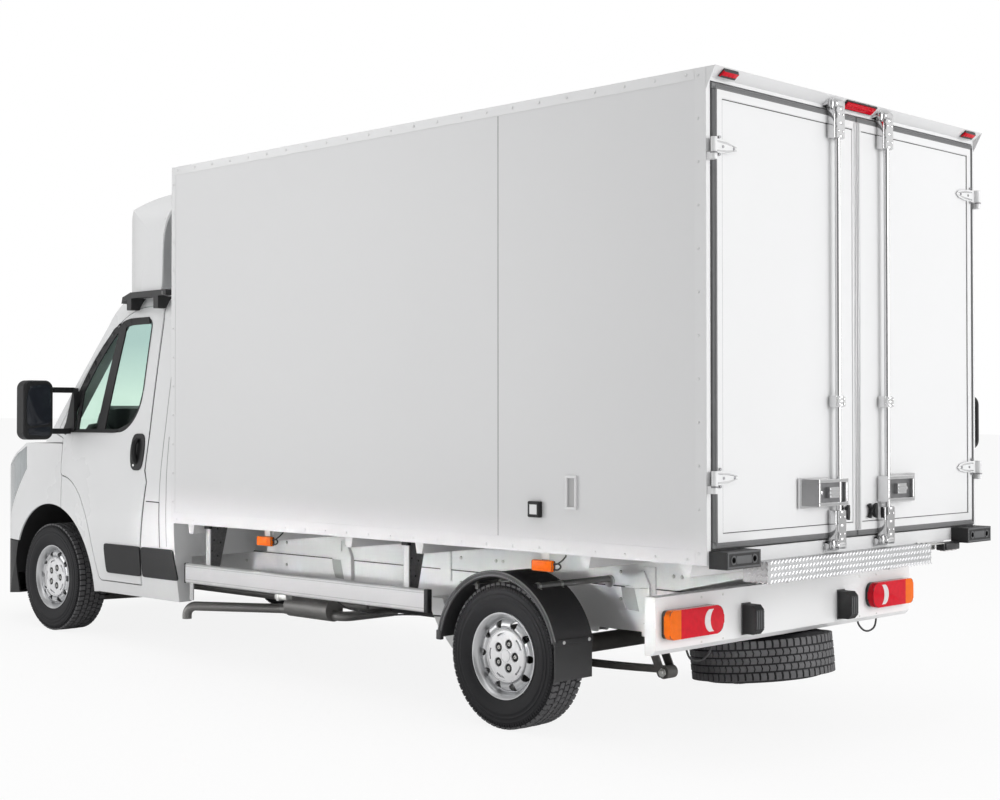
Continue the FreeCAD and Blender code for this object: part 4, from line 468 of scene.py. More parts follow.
def tread_block(name, half_width, half_length, bend):
    """One tread block: a bent bar with a bevelled top. X along the axle, Y round the tyre."""
    shape = bmesh.new()
    outline = [(-half_width, -half_length), (0, -half_length + bend), (half_width, -half_length),
               (half_width, half_length), (0, half_length + bend), (-half_width, half_length)]
    low = [shape.verts.new((x, y, -0.004)) for x, y in outline]
    top = [shape.verts.new((x * 0.93, y * 0.93 + bend * 0.03, GROOVE)) for x, y in outline]
    shape.faces.new(low[::-1])
    shape.faces.new(top)
    for i in range(6):
        shape.faces.new((low[i], low[(i + 1) % 6], top[(i + 1) % 6], top[i]))
    return in_scene(name, as_mesh(shape, name, outward=False))


def tread_rib_tree():
    """Tread blocks round a tyre at the origin, whose axle is X."""
    tree, start, end = tree_with("tread rib", [
        ("Block", "Object"), ("Blocks Round", "Int"), ("Radius", "Float"),
        ("Shift Along Axle", "Float"), ("Turn", "Float"), ("Finish", "Material")])
    given = start.outputs
    ring = add_node(tree, "GeometryNodeMeshCircle", {
        "Vertices": given["Blocks Round"], "Radius": given["Radius"]})
    block = add_node(tree, "GeometryNodeObjectInfo", {"Object": given["Block"]})
    spot = add_node(tree, "GeometryNodeInputPosition").outputs[0]
    along = add_node(tree, "ShaderNodeVectorMath", {0: (0, 0, 1), 1: spot},
                     operation="CROSS_PRODUCT")
    out_turn = add_node(tree, "FunctionNodeAlignRotationToVector", {"Vector": spot}, axis="Z")
    round_turn = add_node(tree, "FunctionNodeAlignRotationToVector", {
        "Rotation": out_turn.outputs[0], "Vector": along.outputs[0]}, axis="Y", pivot_axis="Z")
    put = add_node(tree, "GeometryNodeInstanceOnPoints", {
        "Points": ring.outputs[0], "Instance": block.outputs["Geometry"],
        "Rotation": round_turn.outputs[0]})
    where = add_node(tree, "ShaderNodeCombineXYZ", {"Z": given["Shift Along Axle"]})
    spin = add_node(tree, "ShaderNodeCombineXYZ", {"Z": given["Turn"]})
    move = add_node(tree, "GeometryNodeTransform", {
        "Geometry": put.outputs[0], "Translation": where.outputs[0],
        "Rotation": spin.outputs[0]})
    return painted(tree, move.outputs[0], start, end)


tread_ribs = tread_rib_tree()


def tread_mesh(lift=0.0):
    """Five ribs of tread blocks about X, set on a tyre of the usual size or a little higher."""
    whole = bmesh.new()
    middle = tread_block("middle_block", 0.0145, 0.0150, 0.0045)
    shoulder = tread_block("shoulder_block", 0.0180, 0.0135, 0.0020)
    for block, shift, share, sink in (
            (middle, 0.0, 0.0, 0.0), (middle, 0.0355, 0.5, 0.0), (middle, -0.0355, 0.5, 0.0),
            (shoulder, 0.0745, 0.2, 0.0011), (shoulder, -0.0745, 0.2, 0.0011)):
        seed = bpy.data.meshes.new("rib")
        seed.from_pydata([(0, 0, 0)], [], [])
        rib = grown(seed, tread_ribs, {
            "Block": block, "Blocks Round": BLOCKS_ROUND,
            "Radius": TYRE_RADIUS - GROOVE - sink + lift, "Shift Along Axle": shift,
            "Turn": share * 2 * math.pi / BLOCKS_ROUND, "Finish": tread_rubber}, "rib")
        rib.transform(Matrix.Rotation(math.radians(90), 4, "Y"))
        whole.from_mesh(rib)
    for block in (middle, shoulder):
        bpy.data.objects.remove(block)
    made = as_mesh(whole, "tread_blocks", outward=False)
    made.materials.append(tread_rubber)
    return made


def tyre_mesh():
    """Carcass and tread of one tyre, its axle along X and its middle at the origin."""
    shape, whole, bars = bmesh.new(), bmesh.new(), bmesh.new()
    tread = TYRE_RADIUS - GROOVE
    half = TYRE_HALF
    profile = [(-0.082, 0.2005), (-0.0905, 0.204), (-0.096, 0.214), (-0.0965, 0.222),
               (-0.101, 0.228), (-0.102, 0.234), (-0.1055, 0.240), (-0.1065, 0.262),
               (-half, 0.266), (-half, 0.269), (-0.1060, 0.271), (-0.1060, 0.284),
               (-0.1074, 0.286), (-0.1070, 0.289), (-0.1050, 0.291), (-0.1035, 0.3035),
               (-0.1045, 0.306), (-0.100, 0.318), (-0.094, 0.329), (-0.086, tread),
               (0, tread + 0.0015)]
    profile += [(-x, r) for x, r in profile[-2::-1]]
    add_turned(shape, profile, (0, 0, 0), (1, 0, 0), 120)
    whole.from_mesh(as_mesh(shape, "carcass"))
    before = len(whole.faces)
    whole.from_mesh(tread_mesh())
    for face in list(whole.faces)[before:]:
        face.material_index = 1
    bars_round = BLOCKS_ROUND * 2
    for side in (1, -1):
        for k in range(bars_round):
            add_block(bars, (side * 0.0985 - 0.0045, side * 0.0985 + 0.0045),
                      (-0.0045, 0.0045), (0.309, 0.3245), edge=0)
            turn = Matrix.Rotation(2 * math.pi * (k + 0.3) / bars_round, 4, "X")
            bmesh.ops.transform(bars, matrix=turn, verts=bars.verts[-8:])
            bars.verts.ensure_lookup_table()
    whole.from_mesh(as_mesh(bars, "bars", outward=False))
    made = as_mesh(whole, "road_tyre", outward=False)
    made.materials.append(tyre_rubber)
    made.materials.append(tread_rubber)
    made.shade_smooth()
    made.set_sharp_from_angle(angle=math.radians(38))
    return made


def carved(shape, cutters, name):
    """A closed mesh less a set of closed cutters."""
    solids = []
    for part, word in ((shape, "_body"), (cutters, "_cutters")):
        bmesh.ops.remove_doubles(part, verts=part.verts, dist=0.00001)
        solids.append(in_scene(name + word, as_mesh(part, name + word)))
    cut = solids[0].modifiers.new("cut", "BOOLEAN")
    cut.operation = "DIFFERENCE"
    cut.solver = "EXACT"
    cut.object = solids[1]
    made = plain_mesh(solids[0], name)
    bpy.data.objects.remove(solids[1])
    return made


def on_circle(radius, share):
    """A place on a circle about the axle, from a share of a whole turn."""
    return radius * math.cos(2 * math.pi * share), radius * math.sin(2 * math.pi * share)


VENTS, VENT_CIRCLE, VENT_RADIUS = 10, 0.150, 0.0185
BOLTS, BOLT_CIRCLE = 5, 0.0590


def rim_mesh():
    """Pressed steel rim: flange, gully, domed disc with ten vents and the seat of the cap."""
    shape, cutters = bmesh.new(), bmesh.new()
    section = [(-0.095, 0.2035), (-0.083, 0.1875), (-0.049, 0.1655), (0.012, 0.1655),
               (0.083, 0.1875), (0.0935, 0.2035), (0.095, 0.2025), (0.095, 0.1985),
               (0.088, 0.1900), (0.076, 0.1815), (0.060, 0.1775), (0.050, 0.1745),
               (0.047, 0.1710), (0.052, 0.1680), (0.063, 0.1640), (0.0715, 0.1570),
               (0.0765, 0.1480), (0.0770, 0.1400), (0.0725, 0.1330), (0.062, 0.1270),
               (0.058, 0.1200), (0.058, 0.0300), (0.028, 0.0300), (0.028, 0.0760),
               (0.050, 0.1180), (0.056, 0.1290), (0.066, 0.1360), (0.0705, 0.1430),
               (0.0685, 0.1500), (0.059, 0.1590), (0.044, 0.1645), (0.012, 0.1585),
               (-0.049, 0.1585), (-0.095, 0.1965), (-0.095, 0.2035)]
    add_turned(shape, section, (0, 0, 0), (1, 0, 0), 96)
    for k in range(VENTS):
        y, z = on_circle(VENT_CIRCLE, k / VENTS)
        add_turned(cutters, [(0.03, 0), (0.03, VENT_RADIUS), (0.11, VENT_RADIUS), (0.11, 0)],
                   (0, y, z), (1, 0, 0), 20)
    return carved(shape, cutters, "steel_rim")


def cap_mesh():
    """Pressed cap over the hub: a rolled edge, five round wells for the bolts, five slots."""
    shape, cutters = bmesh.new(), bmesh.new()
    add_turned(shape, [(0.0585, 0), (0.0585, 0.1245), (0.0720, 0.1250), (0.0760, 0.1240),
                       (0.0775, 0.1215), (0.0765, 0.1190), (0.0730, 0.1165), (0.0742, 0.1000),
                       (0.0750, 0.0320), (0.0725, 0.0300), (0.0725, 0.0285), (0.0765, 0.0270),
                       (0.0770, 0)], (0, 0, 0), (1, 0, 0), 72)
    for k in range(BOLTS):
        y, z = on_circle(BOLT_CIRCLE, k / BOLTS)
        add_turned(cutters, [(0.063, 0), (0.063, 0.0205), (0.0715, 0.0215), (0.0755, 0.0232),
                             (0.09, 0.0232), (0.09, 0)], (0, y, z), (1, 0, 0), 24)
        arc = [on_circle(0.1080, (k + 0.5 + i * 0.042) / BOLTS) for i in range(-5, 6)]
        arc += [on_circle(0.0980, (k + 0.5 - i * 0.042) / BOLTS) for i in range(-5, 6)]
        add_push(cutters, arc, 0.0605, 0.09)
    return carved(shape, cutters, "hub_cap")


def bolt_meshes():
    """Dark cups of painted shade that line the wells of the cap, and the hexagon bolts that stand
    in them.
    """
    washers, bolts = bmesh.new(), bmesh.new()
    for k in range(BOLTS):
        spot = (0, *on_circle(BOLT_CIRCLE, k / BOLTS))
        add_turned(washers, [(0.0632, 0), (0.0632, 0.0203), (0.0690, 0.0208), (0.0690, 0.0190),
                             (0.0650, 0.0170), (0.0650, 0)], spot, (1, 0, 0), 24)
        add_turned(bolts, [(0.0640, 0), (0.0640, 0.0100), (0.0725, 0.0100), (0.0740, 0.0085),
                           (0.0740, 0.0050), (0.0680, 0.0045), (0.0680, 0)], spot, (1, 0, 0), 6)
    return as_mesh(washers, "cap_wells"), as_mesh(bolts, "wheel_bolts")


cap_silver = finish("bright wheel cap", (0.80, 0.80, 0.81), 0.30, metal=0.45, mottle=0.07,
                    mottle_size=30, grain=0.08, grain_size=500)
# Painted shade: a near black laid into wells, holes and seams where shade falls.
painted_shade_black = finish("shadowed steel", (0.020, 0.020, 0.021), 0.6, mottle=0.3, mottle_size=60)
road_tyre = tyre_mesh()
steel_rim, hub_cap = rim_mesh(), cap_mesh()
well_shade_mesh, bolt_mesh = bolt_meshes()
valve = bmesh.new()
add_tube(valve, [(0.062, 0.138, 0.092), (0.082, 0.146, 0.098), (0.096, 0.150, 0.101)],
         [0.006, 0.004, 0.004], 10)
valve_mesh = as_mesh(valve, "valve", outward=False)
for corner, x, y, flip in (("front_left", 0.905, -2.222, 1), ("front_right", -0.905, -2.222, -1),
                           ("rear_left", 0.895, 1.813, 1), ("rear_right", -0.895, 1.813, -1)):
    hub = Matrix.Translation((x, y, TYRE_RADIUS))
    if flip < 0:
        hub = hub @ Matrix.Rotation(math.pi, 4, "Z")
    body = corner.replace("front_", "front_wheel_").replace("rear_", "rear_wheel_")
    for mesh, word, stuff, slot, replaced in (
            (road_tyre, "road_tyre_", tyre_rubber, "tyre", "tyre_"),
            (steel_rim, "steel_rim_", wheel_silver, "wheel_silver", "rim_"),
            (hub_cap, "hub_cap_", cap_silver, "wheel_silver", None),
            (well_shade_mesh, "cap_wells_", painted_shade_black, "wheel_silver", None),
            (bolt_mesh, "wheel_bolts_", zinc, "wheel_silver", None),
            (valve_mesh, "valve_", tyre_rubber, "tyre", None)):
        copied = mesh.copy()
        copied.transform(hub)
        thing = placed(word + corner, copied, stuff, body, level=False,
                       smooth=word != "road_tyre_")
        if replaced:
            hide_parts(replaced + corner)
dress(tyre_rubber, "spare_wheel")
SPARE_AT = (-0.135, 4.700, 0.298)
spare_tread = tread_mesh(lift=0.0055)
spare_tread.transform(Matrix.Translation(SPARE_AT) @
                      Matrix.Rotation(math.radians(6), 4, "X") @
                      Matrix.Rotation(math.radians(-90), 4, "Y"))
placed("spare_tread", spare_tread, tread_rubber, "truck")

# Engine, tank, exhaust and spare
# The exhaust is heat dulled steel, the tank black moulded plastic. Both hang below the rails.

black_plastic = finish("grained black plastic", (0.018, 0.018, 0.019), 0.48, mottle=0.15,
                       mottle_size=5, grain=0.35, grain_size=420, dust=0.05, dust_top=0.6,
                       shine=0.3)
moulded_black = finish("moulded mudguard plastic", (0.034, 0.034, 0.036), 0.5, mottle=0.1,
                       mottle_size=5, grain=0.2, grain_size=420, dust=0.05, dust_top=0.6)
exhaust_steel = finish("dulled exhaust steel", (0.24, 0.235, 0.23), 0.42, metal=0.7,
                       mottle=0.35, mottle_size=7, stretch=(1, 0.4, 1), grain=0.15)
dress(black_plastic, "fuel_tank", "front_bumper", "grille", "mirror_left",
      "mirror_right", "grab_handle", "arch_liners")
dress(moulded_black, "rear_mudguards")
dress(exhaust_steel, "exhaust")

# Cab
# Pressed steel panels in gloss white over a floor pan, with green tinted glass, black plastic
# trim and seats in dark woven cloth.

cab_white = finish("gloss white cab paint", (0.80, 0.805, 0.81), 0.28, coat=0.7, mottle=0.012,
                   mottle_size=1.5, dust=0.22, dust_top=0.75)
floor_grey = finish("cab floor paint", (0.10, 0.10, 0.105), 0.6, mottle=0.15, mottle_size=10,
                    grain=0.4, grain_size=180)
dash_plastic = finish("dashboard plastic", (0.030, 0.031, 0.034), 0.58, mottle=0.12,
                      mottle_size=6, grain=0.5, grain_size=500)
dress(cab_white, "cab_body", "cab_roof", "cab_door_left", "cab_door_right", "bonnet",
      "front_fenders", "roof_fairing")
dress(floor_grey, "cab_floor")
dress(dash_plastic, "dashboard")


def woven_cloth():
    """Dark seat cloth: two crossed fine waves with a fleck of lighter yarn."""
    made = finish("woven seat cloth", (0.030, 0.031, 0.035), 0.85, mottle=0.25, mottle_size=40)
    tree = made.node_tree
    place = add_node(tree, "ShaderNodeTexCoord").outputs["Object"]
    waves = [add_node(tree, "ShaderNodeTexWave", {
        "Vector": place, "Scale": 260, "Distortion": 0.6}, bands_direction=across).outputs["Fac"]
        for across in ("X", "Z")]
    relief = add_node(tree, "ShaderNodeBump", {
        "Strength": 0.5, "Distance": 0.002, "Height": worked(tree, "ADD", *waves)})
    feed(tree.nodes["Principled BSDF"], {"Normal": relief.outputs[0], "Sheen Weight": 0.3})
    return made


def tinted_glass():
    """Clear safety glass with a green tint that deepens upwards, and a little dust."""
    made = bpy.data.materials.new("tinted glass")
    made.use_nodes = True
    tree = made.node_tree
    place = add_node(tree, "ShaderNodeTexCoord").outputs["Object"]
    film = add_node(tree, "ShaderNodeTexNoise", {"Vector": place, "Scale": 5, "Detail": 6})
    gloss = add_node(tree, "ShaderNodeMapRange", {
        "Value": film.outputs["Fac"], "To Min": 0.0, "To Max": 0.03})
    height = add_node(tree, "ShaderNodeSeparateXYZ", {0: place}).outputs["Z"]
    rise = add_node(tree, "ShaderNodeMapRange", {
        "Value": height, "From Min": 1.50, "From Max": 1.85})
    tint = add_node(tree, "ShaderNodeMix", {
        0: rise.outputs[0], 6: (0.80, 0.93, 0.86, 1), 7: (0.66, 0.79, 0.76, 1)},
        data_type="RGBA")
    feed(tree.nodes["Principled BSDF"], {
        "Base Color": tint.outputs[2], "Roughness": gloss.outputs[0],
        "Transmission Weight": 1.0, "IOR": 1.12})
    return made


seat_cloth = woven_cloth()
glass = tinted_glass()
dress(seat_cloth, "seats")
dress(glass, "windscreen", "door_glass_left", "door_glass_right")

hood = bmesh.new()
add_push(hood, [(-0.13, 1.235), (-0.07, 1.340), (0.02, 1.410), (0.14, 1.420), (0.235, 1.370),
                (0.245, 1.235)], -0.76, 0.76, edge=0.02, steps=3)
add_push(hood, [(0.00, 1.395), (0.05, 1.490), (0.15, 1.530), (0.245, 1.510), (0.255, 1.340),
                (0.10, 1.340)], 0.27, 0.70, edge=0.03, steps=3)
placed("dash_hood", hood, dash_plastic, "truck", smooth=True)


def skin_of(*names):
    """What a straight look from the side or the front meets on these CAD nodes."""
    points, faces = [], []
    for name in names:
        mesh = cad[name].data
        first = len(points)
        points += [v.co.copy() for v in mesh.vertices]
        faces += [[first + i for i in f.vertices] for f in mesh.polygons]
    return BVHTree.FromPolygons(points, faces)


def out_at(skin, y, z, side):
    """How far out the skin lies at a level (y, z) of one side, or nothing."""
    start = tilt @ Vector((0, y, z))
    start.x = side * 2
    hit = skin.ray_cast(start, Vector((-side, 0, 0)))[0]
    return None if hit is None else hit.x


def laid_on(shape, skin, outlines, side, lift, thick, edge=0.0, step=0.05, fallback=1.0):
    """Plates laid on a curved side: flat (y, z) outlines, cut small, pressed onto the skin and
    given a thickness. Lift is the gap under them, and may be negative for a plate let in."""
    for outline in outlines:
        part = bmesh.new()
        face = part.faces.new([part.verts.new((0, y, z)) for y, z in outline])
        ys = [p[0] for p in outline]
        zs = [p[1] for p in outline]
        for axis, low, high in ((1, min(ys), max(ys)), (2, min(zs), max(zs))):
            at = low + step
            while at < high:
                where = [0, 0, 0]
                where[axis] = at
                normal = [0, 0, 0]
                normal[axis] = 1
                bmesh.ops.bisect_plane(part, geom=part.verts[:] + part.edges[:] + part.faces[:],
                                       plane_co=where, plane_no=normal)
                at += step
        for vert in part.verts:
            x = out_at(skin, vert.co.y, vert.co.z, side)
            if x is None:
                near = [out_at(skin, vert.co.y + dy, vert.co.z + dz, side)
                        for dy in (-0.02, 0.02) for dz in (-0.02, 0.02)]
                near = [n for n in near if n is not None]
                x = near[0] if near else side * fallback
            vert.co.x = x + side * lift
        grown_faces = bmesh.ops.extrude_face_region(part, geom=part.faces[:])["geom"]
        top = [g for g in grown_faces if isinstance(g, bmesh.types.BMVert)]
        for vert in top:
            vert.co.x += side * thick
        if edge:
            tops = set(top)
            rim = [e for e in part.edges if set(e.verts) <= tops and
                   sum(1 for f in e.link_faces if set(f.verts) <= tops) == 1]
            bmesh.ops.bevel(part, geom=rim, offset=edge, segments=2, profile=0.5,
                            affect="EDGES")
        shape.from_mesh(as_mesh(part, "plate"))


def rounded(points, radius, steps=5):
    """An outline with its corners rounded."""
    made = []
    count = len(points)
    for i, here in enumerate(points):
        here = Vector(here)
        before = (Vector(points[i - 1]) - here)
        after = (Vector(points[(i + 1) % count]) - here)
        reach = min(radius, before.length * 0.45, after.length * 0.45)
        start, end = here + before.normalized() * reach, here + after.normalized() * reach
        for k in range(steps + 1):
            t = k / steps
            spot = start * (1 - t) ** 2 + here * 2 * t * (1 - t) + end * t * t
            made.append((spot.x, spot.y))
    return made


def ribbon(points, width, closed=True, inner_share=0.5):
    """Flat four-sided plates that make a band along a line; the share of the width inside."""
    count = len(points)
    near, far = [], []
    for i in range(count):
        before = Vector(points[i - 1] if closed or i else points[0])
        after = Vector(points[(i + 1) % count] if closed or i < count - 1 else points[-1])
        along = (after - before).normalized()
        across = Vector((-along.y, along.x))
        here = Vector(points[i])
        near.append(here - across * width * inner_share)
        far.append(here + across * width * (1 - inner_share))
    last = count if closed else count - 1
    return [[tuple(near[i]), tuple(near[(i + 1) % count]), tuple(far[(i + 1) % count]),
             tuple(far[i])] for i in range(last)]


def smooth_line(points, steps=6):
    """A soft curve through points, flat or in space."""
    made = []
    for i in range(len(points) - 1):
        p0, p1 = Vector(points[max(i - 1, 0)]), Vector(points[i])
        p2, p3 = Vector(points[i + 1]), Vector(points[min(i + 2, len(points) - 1)])
        for k in range(steps):
            t = k / steps
            made.append(tuple(0.5 * (2 * p1 + (p2 - p0) * t +
                                     (2 * p0 - 5 * p1 + 4 * p2 - p3) * t * t +
                                     (3 * p1 - p0 - 3 * p2 + p3) * t ** 3)))
    return made + [tuple(points[-1])]
seam_black = finish("shadow in the seams", (0.010, 0.010, 0.010), 0.8, mottle=0.2)
joint_grey = finish("shaded panel joint", (0.33, 0.33, 0.33), 0.6, mottle=0.2)
mirror_glass = finish("dark mirror glass", (0.020, 0.023, 0.030), 0.12, mottle=0.5,
                      mottle_size=9, shine=0.35)
lamp_glass = finish("headlamp glass", (0.46, 0.49, 0.50), 0.08, metal=0.35, coat=1.0,
                    mottle=0.25, mottle_size=30, stretch=(1, 1, 0.3))
dress(lamp_glass, "headlamps")
MIRROR_BACK = 0.225
white_dot = finish("lock barrel", (0.7, 0.7, 0.7), 0.3, metal=0.8, mottle=0.1, mottle_size=80)
window_edge = [(0.730, 1.362), (0.868, 1.405), (0.945, 1.500), (0.968, 1.610), (0.966, 2.025),
               (0.930, 2.060), (0.630, 2.042), (0.445, 1.885), (0.270, 1.650), (0.110, 1.362)]
for side, word in SIDES:
    body = "cab_door_" + word
    skin = skin_of("cab_door_" + word, "cab_body", "front_fenders")
    pane = skin_of("door_glass_" + word)
    frame_skin = skin_of("door_glass_" + word, "cab_door_" + word, "cab_body")

    seals = bmesh.new()
    laid_on(seals, frame_skin, ribbon(rounded(window_edge, 0.03, 3), 0.022, True, 0.12), side,
            0.0004, 0.005, step=0.05, fallback=0.9)
    laid_on(seals, frame_skin, ribbon(smooth_line(window_edge[5:], 3), 0.042, False, 0.10),
            side, 0.0006, 0.007, step=0.05, fallback=0.9)
    for bar, thick in (([(0.487, 1.355), (0.579, 1.355), (0.684, 2.05), (0.605, 2.03)], 0.009),
                       ([(0.235, 1.355), (0.275, 1.355), (0.300, 1.700), (0.272, 1.665)],
                        0.010)):
        laid_on(seals, pane, [bar], side, 0.0005, thick, 0.003, step=0.12, fallback=0.9)
    placed("door_window_trim_" + word, seals, black_plastic, body)
    for name, carrier, corners in (
            ("door_moulding_", body,
             [(0.655, 0.505), (1.033, 0.505), (1.041, 0.684), (0.647, 0.684)]),
            ("sill_moulding_", "truck",
             [(1.050, 0.505), (1.415, 0.505), (1.385, 0.684), (1.054, 0.684)])):
        moulding = bmesh.new()
        laid_on(moulding, skin, [rounded(corners, 0.022)], side, 0.0, 0.009, 0.003)
        placed(name + word, moulding, black_plastic, carrier)

    pull = bmesh.new()
    oval = rounded([(0.938, 1.137), (1.044, 1.137), (1.061, 1.247), (1.045, 1.358),
                    (0.924, 1.357), (0.907, 1.247)], 0.045, 6)
    laid_on(pull, skin, [oval], side, 0.0, 0.006, 0.002, step=0.03)
    grip_x = out_at(skin, 0.985, 1.25, side)
    add_tube(pull, [(grip_x + side * 0.002, 0.990, 1.175), (grip_x + side * 0.024, 0.986, 1.200),
                    (grip_x + side * 0.030, 0.984, 1.250), (grip_x + side * 0.024, 0.984, 1.300),
                    (grip_x + side * 0.002, 0.988, 1.325)], [0.013, 0.016, 0.017, 0.016, 0.013], 14)
    placed("door_pull_" + word, pull, black_plastic, body, smooth=True)
    barrel = bmesh.new()
    add_turned(barrel, [(0, 0), (0, 0.0075), (0.003, 0.0075), (0.004, 0.005), (0.004, 0)],
               (out_at(skin, 0.962, 1.167, side) + side * 0.006, 0.962, 1.167), (side, 0, 0),
               20)
    placed("door_lock_" + word, barrel, white_dot, body, smooth=True)

    for name, paint, broad, thick, lines in (
            ("cab_seams_", seam_black, 0.006, 0.0008, (
                [(1.086, 2.130), (1.093, 1.355), (1.085, 1.139), (1.111, 1.071),
                 (1.043, 0.683), (1.023, 0.452)],
                [(1.112, 0.957), (1.250, 0.955)], [(1.250, 0.957), (1.248, 0.690)])),
            ("cab_joints_", joint_grey, 0.005, 0.0006, (
                [(1.236, 2.20), (1.250, 1.40), (1.250, 0.96)],
                [(1.300, 1.34), (1.320, 1.00), (1.320, 0.70)]))):
        creases = bmesh.new()
        for line in lines:
            laid_on(creases, skin, ribbon(line, broad, False), side, 0.0002, thick, step=0.03)
        placed(name + word, creases, paint, "truck")

    glasses = bmesh.new()
    lens = [(1.143, 1.412), (1.305, 1.398), (1.312, 1.560), (1.292, 1.650), (1.150, 1.664)]
    wide = [(1.150, 1.336), (1.290, 1.344), (1.305, 1.385), (1.143, 1.398)]
    for outline in (lens, wide):
        add_push(glasses, [(side * x, z) for x, z in rounded(outline, 0.035, 5)],
                 MIRROR_BACK - 0.001, MIRROR_BACK + 0.002, "y", 0.0008)
    placed("mirror_glass_" + word, glasses, mirror_glass, body, smooth=True)

wipers = bmesh.new()
screen_skin = skin_of("windscreen")


def on_screen(x, z, off=0.011):
    """A place just in front of the windscreen."""
    hit = screen_skin.ray_cast(Vector((x, -5, z)), Vector((0, 1, 0)))[0]
    return x, hit.y - off, z


for start_x in (0.60, -0.02):
    add_tube(wipers, [on_screen(start_x - 0.60 * k / 8, 1.300 + 0.034 * k / 8)
                      for k in range(9)], 0.0065, 8)
    add_tube(wipers, [on_screen(start_x + 0.02, 1.275, 0.020),
                      on_screen(start_x - 0.12, 1.292, 0.030),
                      on_screen(start_x - 0.30, 1.318, 0.020)], [0.012, 0.007, 0.005], 10)
placed("wipers", wipers, black_plastic, "truck", level=False, smooth=True)

# Insulated box
# Sandwich panels with a smooth white skin. Painted aluminium strips close the edges and are held
# by rivets; the floor is coated against slipping.

box_white = finish("smooth panel skin", (0.735, 0.737, 0.742), 0.36, mottle=0.02,
                   mottle_size=0.9, grain=0.05, grain_size=40, dust=0.18, dust_top=1.15)
strip_white = finish("painted edge strip", (0.755, 0.757, 0.762), 0.30, mottle=0.02,
                     mottle_size=4, coat=0.3, dust=0.2, dust_top=1.1)
deck_grey = finish("anti-slip deck", (0.145, 0.145, 0.142), 0.75, mottle=0.2, mottle_size=30,
                   grain=1.0, grain_size=350)
dress(box_white, "box_left_wall", "box_right_wall", "box_front_wall", "box_roof",
      "rear_door_left", "rear_door_right")
dress(deck_grey, "box_floor")
dress(strip_white, "rear_frame")
BOX_HALF, BOX_FRONT, BOX_REAR = 1.111, 1.50, 5.315
BOX_LOW, BOX_TOP = 0.851, 2.885
STRIP = 0.0016
LOW_EDGE, TOP_EDGE = (BOX_LOW, BOX_LOW + 0.062), (BOX_TOP - 0.046, BOX_TOP)
RIVETS = {"spacing": 0.163, "radius": 0.0062, "height": 0.0026}

for side, word in SIDES:
    lim = span(side, BOX_HALF, BOX_HALF + STRIP)
    along = (BOX_FRONT, BOX_REAR - 0.0585)
    of_blocks("box_edge_strips_" + word, [
        (lim, (BOX_REAR - 0.058, BOX_REAR - 0.0005), (BOX_LOW, BOX_TOP), 0.0006, 1),
        (lim, along, LOW_EDGE, 0.0006, 1), (lim, along, TOP_EDGE, 0.0006, 1),
        (lim, (BOX_FRONT, BOX_FRONT + 0.040), (BOX_LOW + 0.0625, BOX_TOP - 0.0465), 0.0006, 1)],
        strip_white, "truck")
    of_blocks("box_panel_joint_" + word, [
        (span(side, BOX_HALF, BOX_HALF + 0.0006), (4.124, 4.1265),
         (BOX_LOW + 0.064, BOX_TOP - 0.048), 0)], seam_black, "truck")
    x = side * (BOX_HALF + STRIP + 0.0012)
    fastened("box_rivets_" + word, [((x, y0, z0), (x, y1, z1)) for y0, z0, y1, z1 in (
        (BOX_REAR - 0.040, BOX_LOW + 0.05, BOX_REAR - 0.040, BOX_TOP - 0.03),
        (BOX_FRONT + 0.06, BOX_LOW + 0.022, BOX_REAR - 0.10, BOX_LOW + 0.022),
        (BOX_FRONT + 0.06, BOX_TOP - 0.022, BOX_REAR - 0.10, BOX_TOP - 0.022),
        (BOX_FRONT + 0.022, BOX_LOW + 0.12, BOX_FRONT + 0.022, BOX_TOP - 0.10))],
        (side, 0, 0), strip_white, "truck", "box_skin", **RIVETS)
deep, middle = (BOX_FRONT - STRIP, BOX_FRONT), (-BOX_HALF + 0.046, BOX_HALF - 0.046)
of_blocks("box_edge_strips_front", [
    (span(side, BOX_HALF - 0.045, BOX_HALF), deep, (BOX_LOW, BOX_TOP), 0.0006, 1)
    for side in (1, -1)] + [(middle, deep, edge, 0.0006, 1) for edge in (TOP_EDGE, LOW_EDGE)],
    strip_white, "truck")
fastened("box_rivets_front", [
    ((side * (BOX_HALF - 0.024), BOX_FRONT - STRIP - 0.0012, BOX_LOW + 0.06),
     (side * (BOX_HALF - 0.024), BOX_FRONT - STRIP - 0.0012, BOX_TOP - 0.06))
    for side in (1, -1)], (0, -1, 0), strip_white, "truck", "box_skin", **RIVETS)

# Fittings on the left wall
# A recessed document holder with a white rim, and a small socket box with a blank white face.

holder_grey = finish("holder back", (0.48, 0.48, 0.48), 0.5, mottle=0.06)
of_blocks("wall_holder_rim", [
    ((BOX_HALF - 0.001, BOX_HALF + 0.011), y, z, 0.002) for y, z in (
        ((4.548, 4.612), (1.050, 1.062)), ((4.548, 4.612), (1.188, 1.200)),
        ((4.548, 4.559), (1.062, 1.188)), ((4.601, 4.612), (1.062, 1.188)))],
    strip_white, "truck")
of_blocks("wall_holder_back", [
    ((BOX_HALF - 0.001, BOX_HALF + 0.002), (4.558, 4.602), (1.061, 1.189), 0.0006)],
    holder_grey, "truck")
socket = bmesh.new()
add_block(socket, (BOX_HALF - 0.001, BOX_HALF + 0.022), (4.330, 4.402), (1.008, 1.080), 0.005)
for y, z in ((4.337, 1.015), (4.395, 1.015), (4.337, 1.073), (4.395, 1.073)):
    add_turned(socket, [(0, 0.004), (0.0015, 0.0035), (0.0015, 0)],
               (BOX_HALF + 0.022, y, z), (1, 0, 0), 10)
placed("wall_socket", socket, black_plastic, "truck")
of_blocks("wall_socket_blank", [
    ((BOX_HALF + 0.0215, BOX_HALF + 0.0232), (4.344, 4.388), (1.022, 1.066), 0.0006)],
    strip_white, "truck")

# Rear doors
# Two insulated leaves in a rubber gasket, with stainless hinges, a polished rod on each leaf and
# a paddle handle in a box that folds flat.

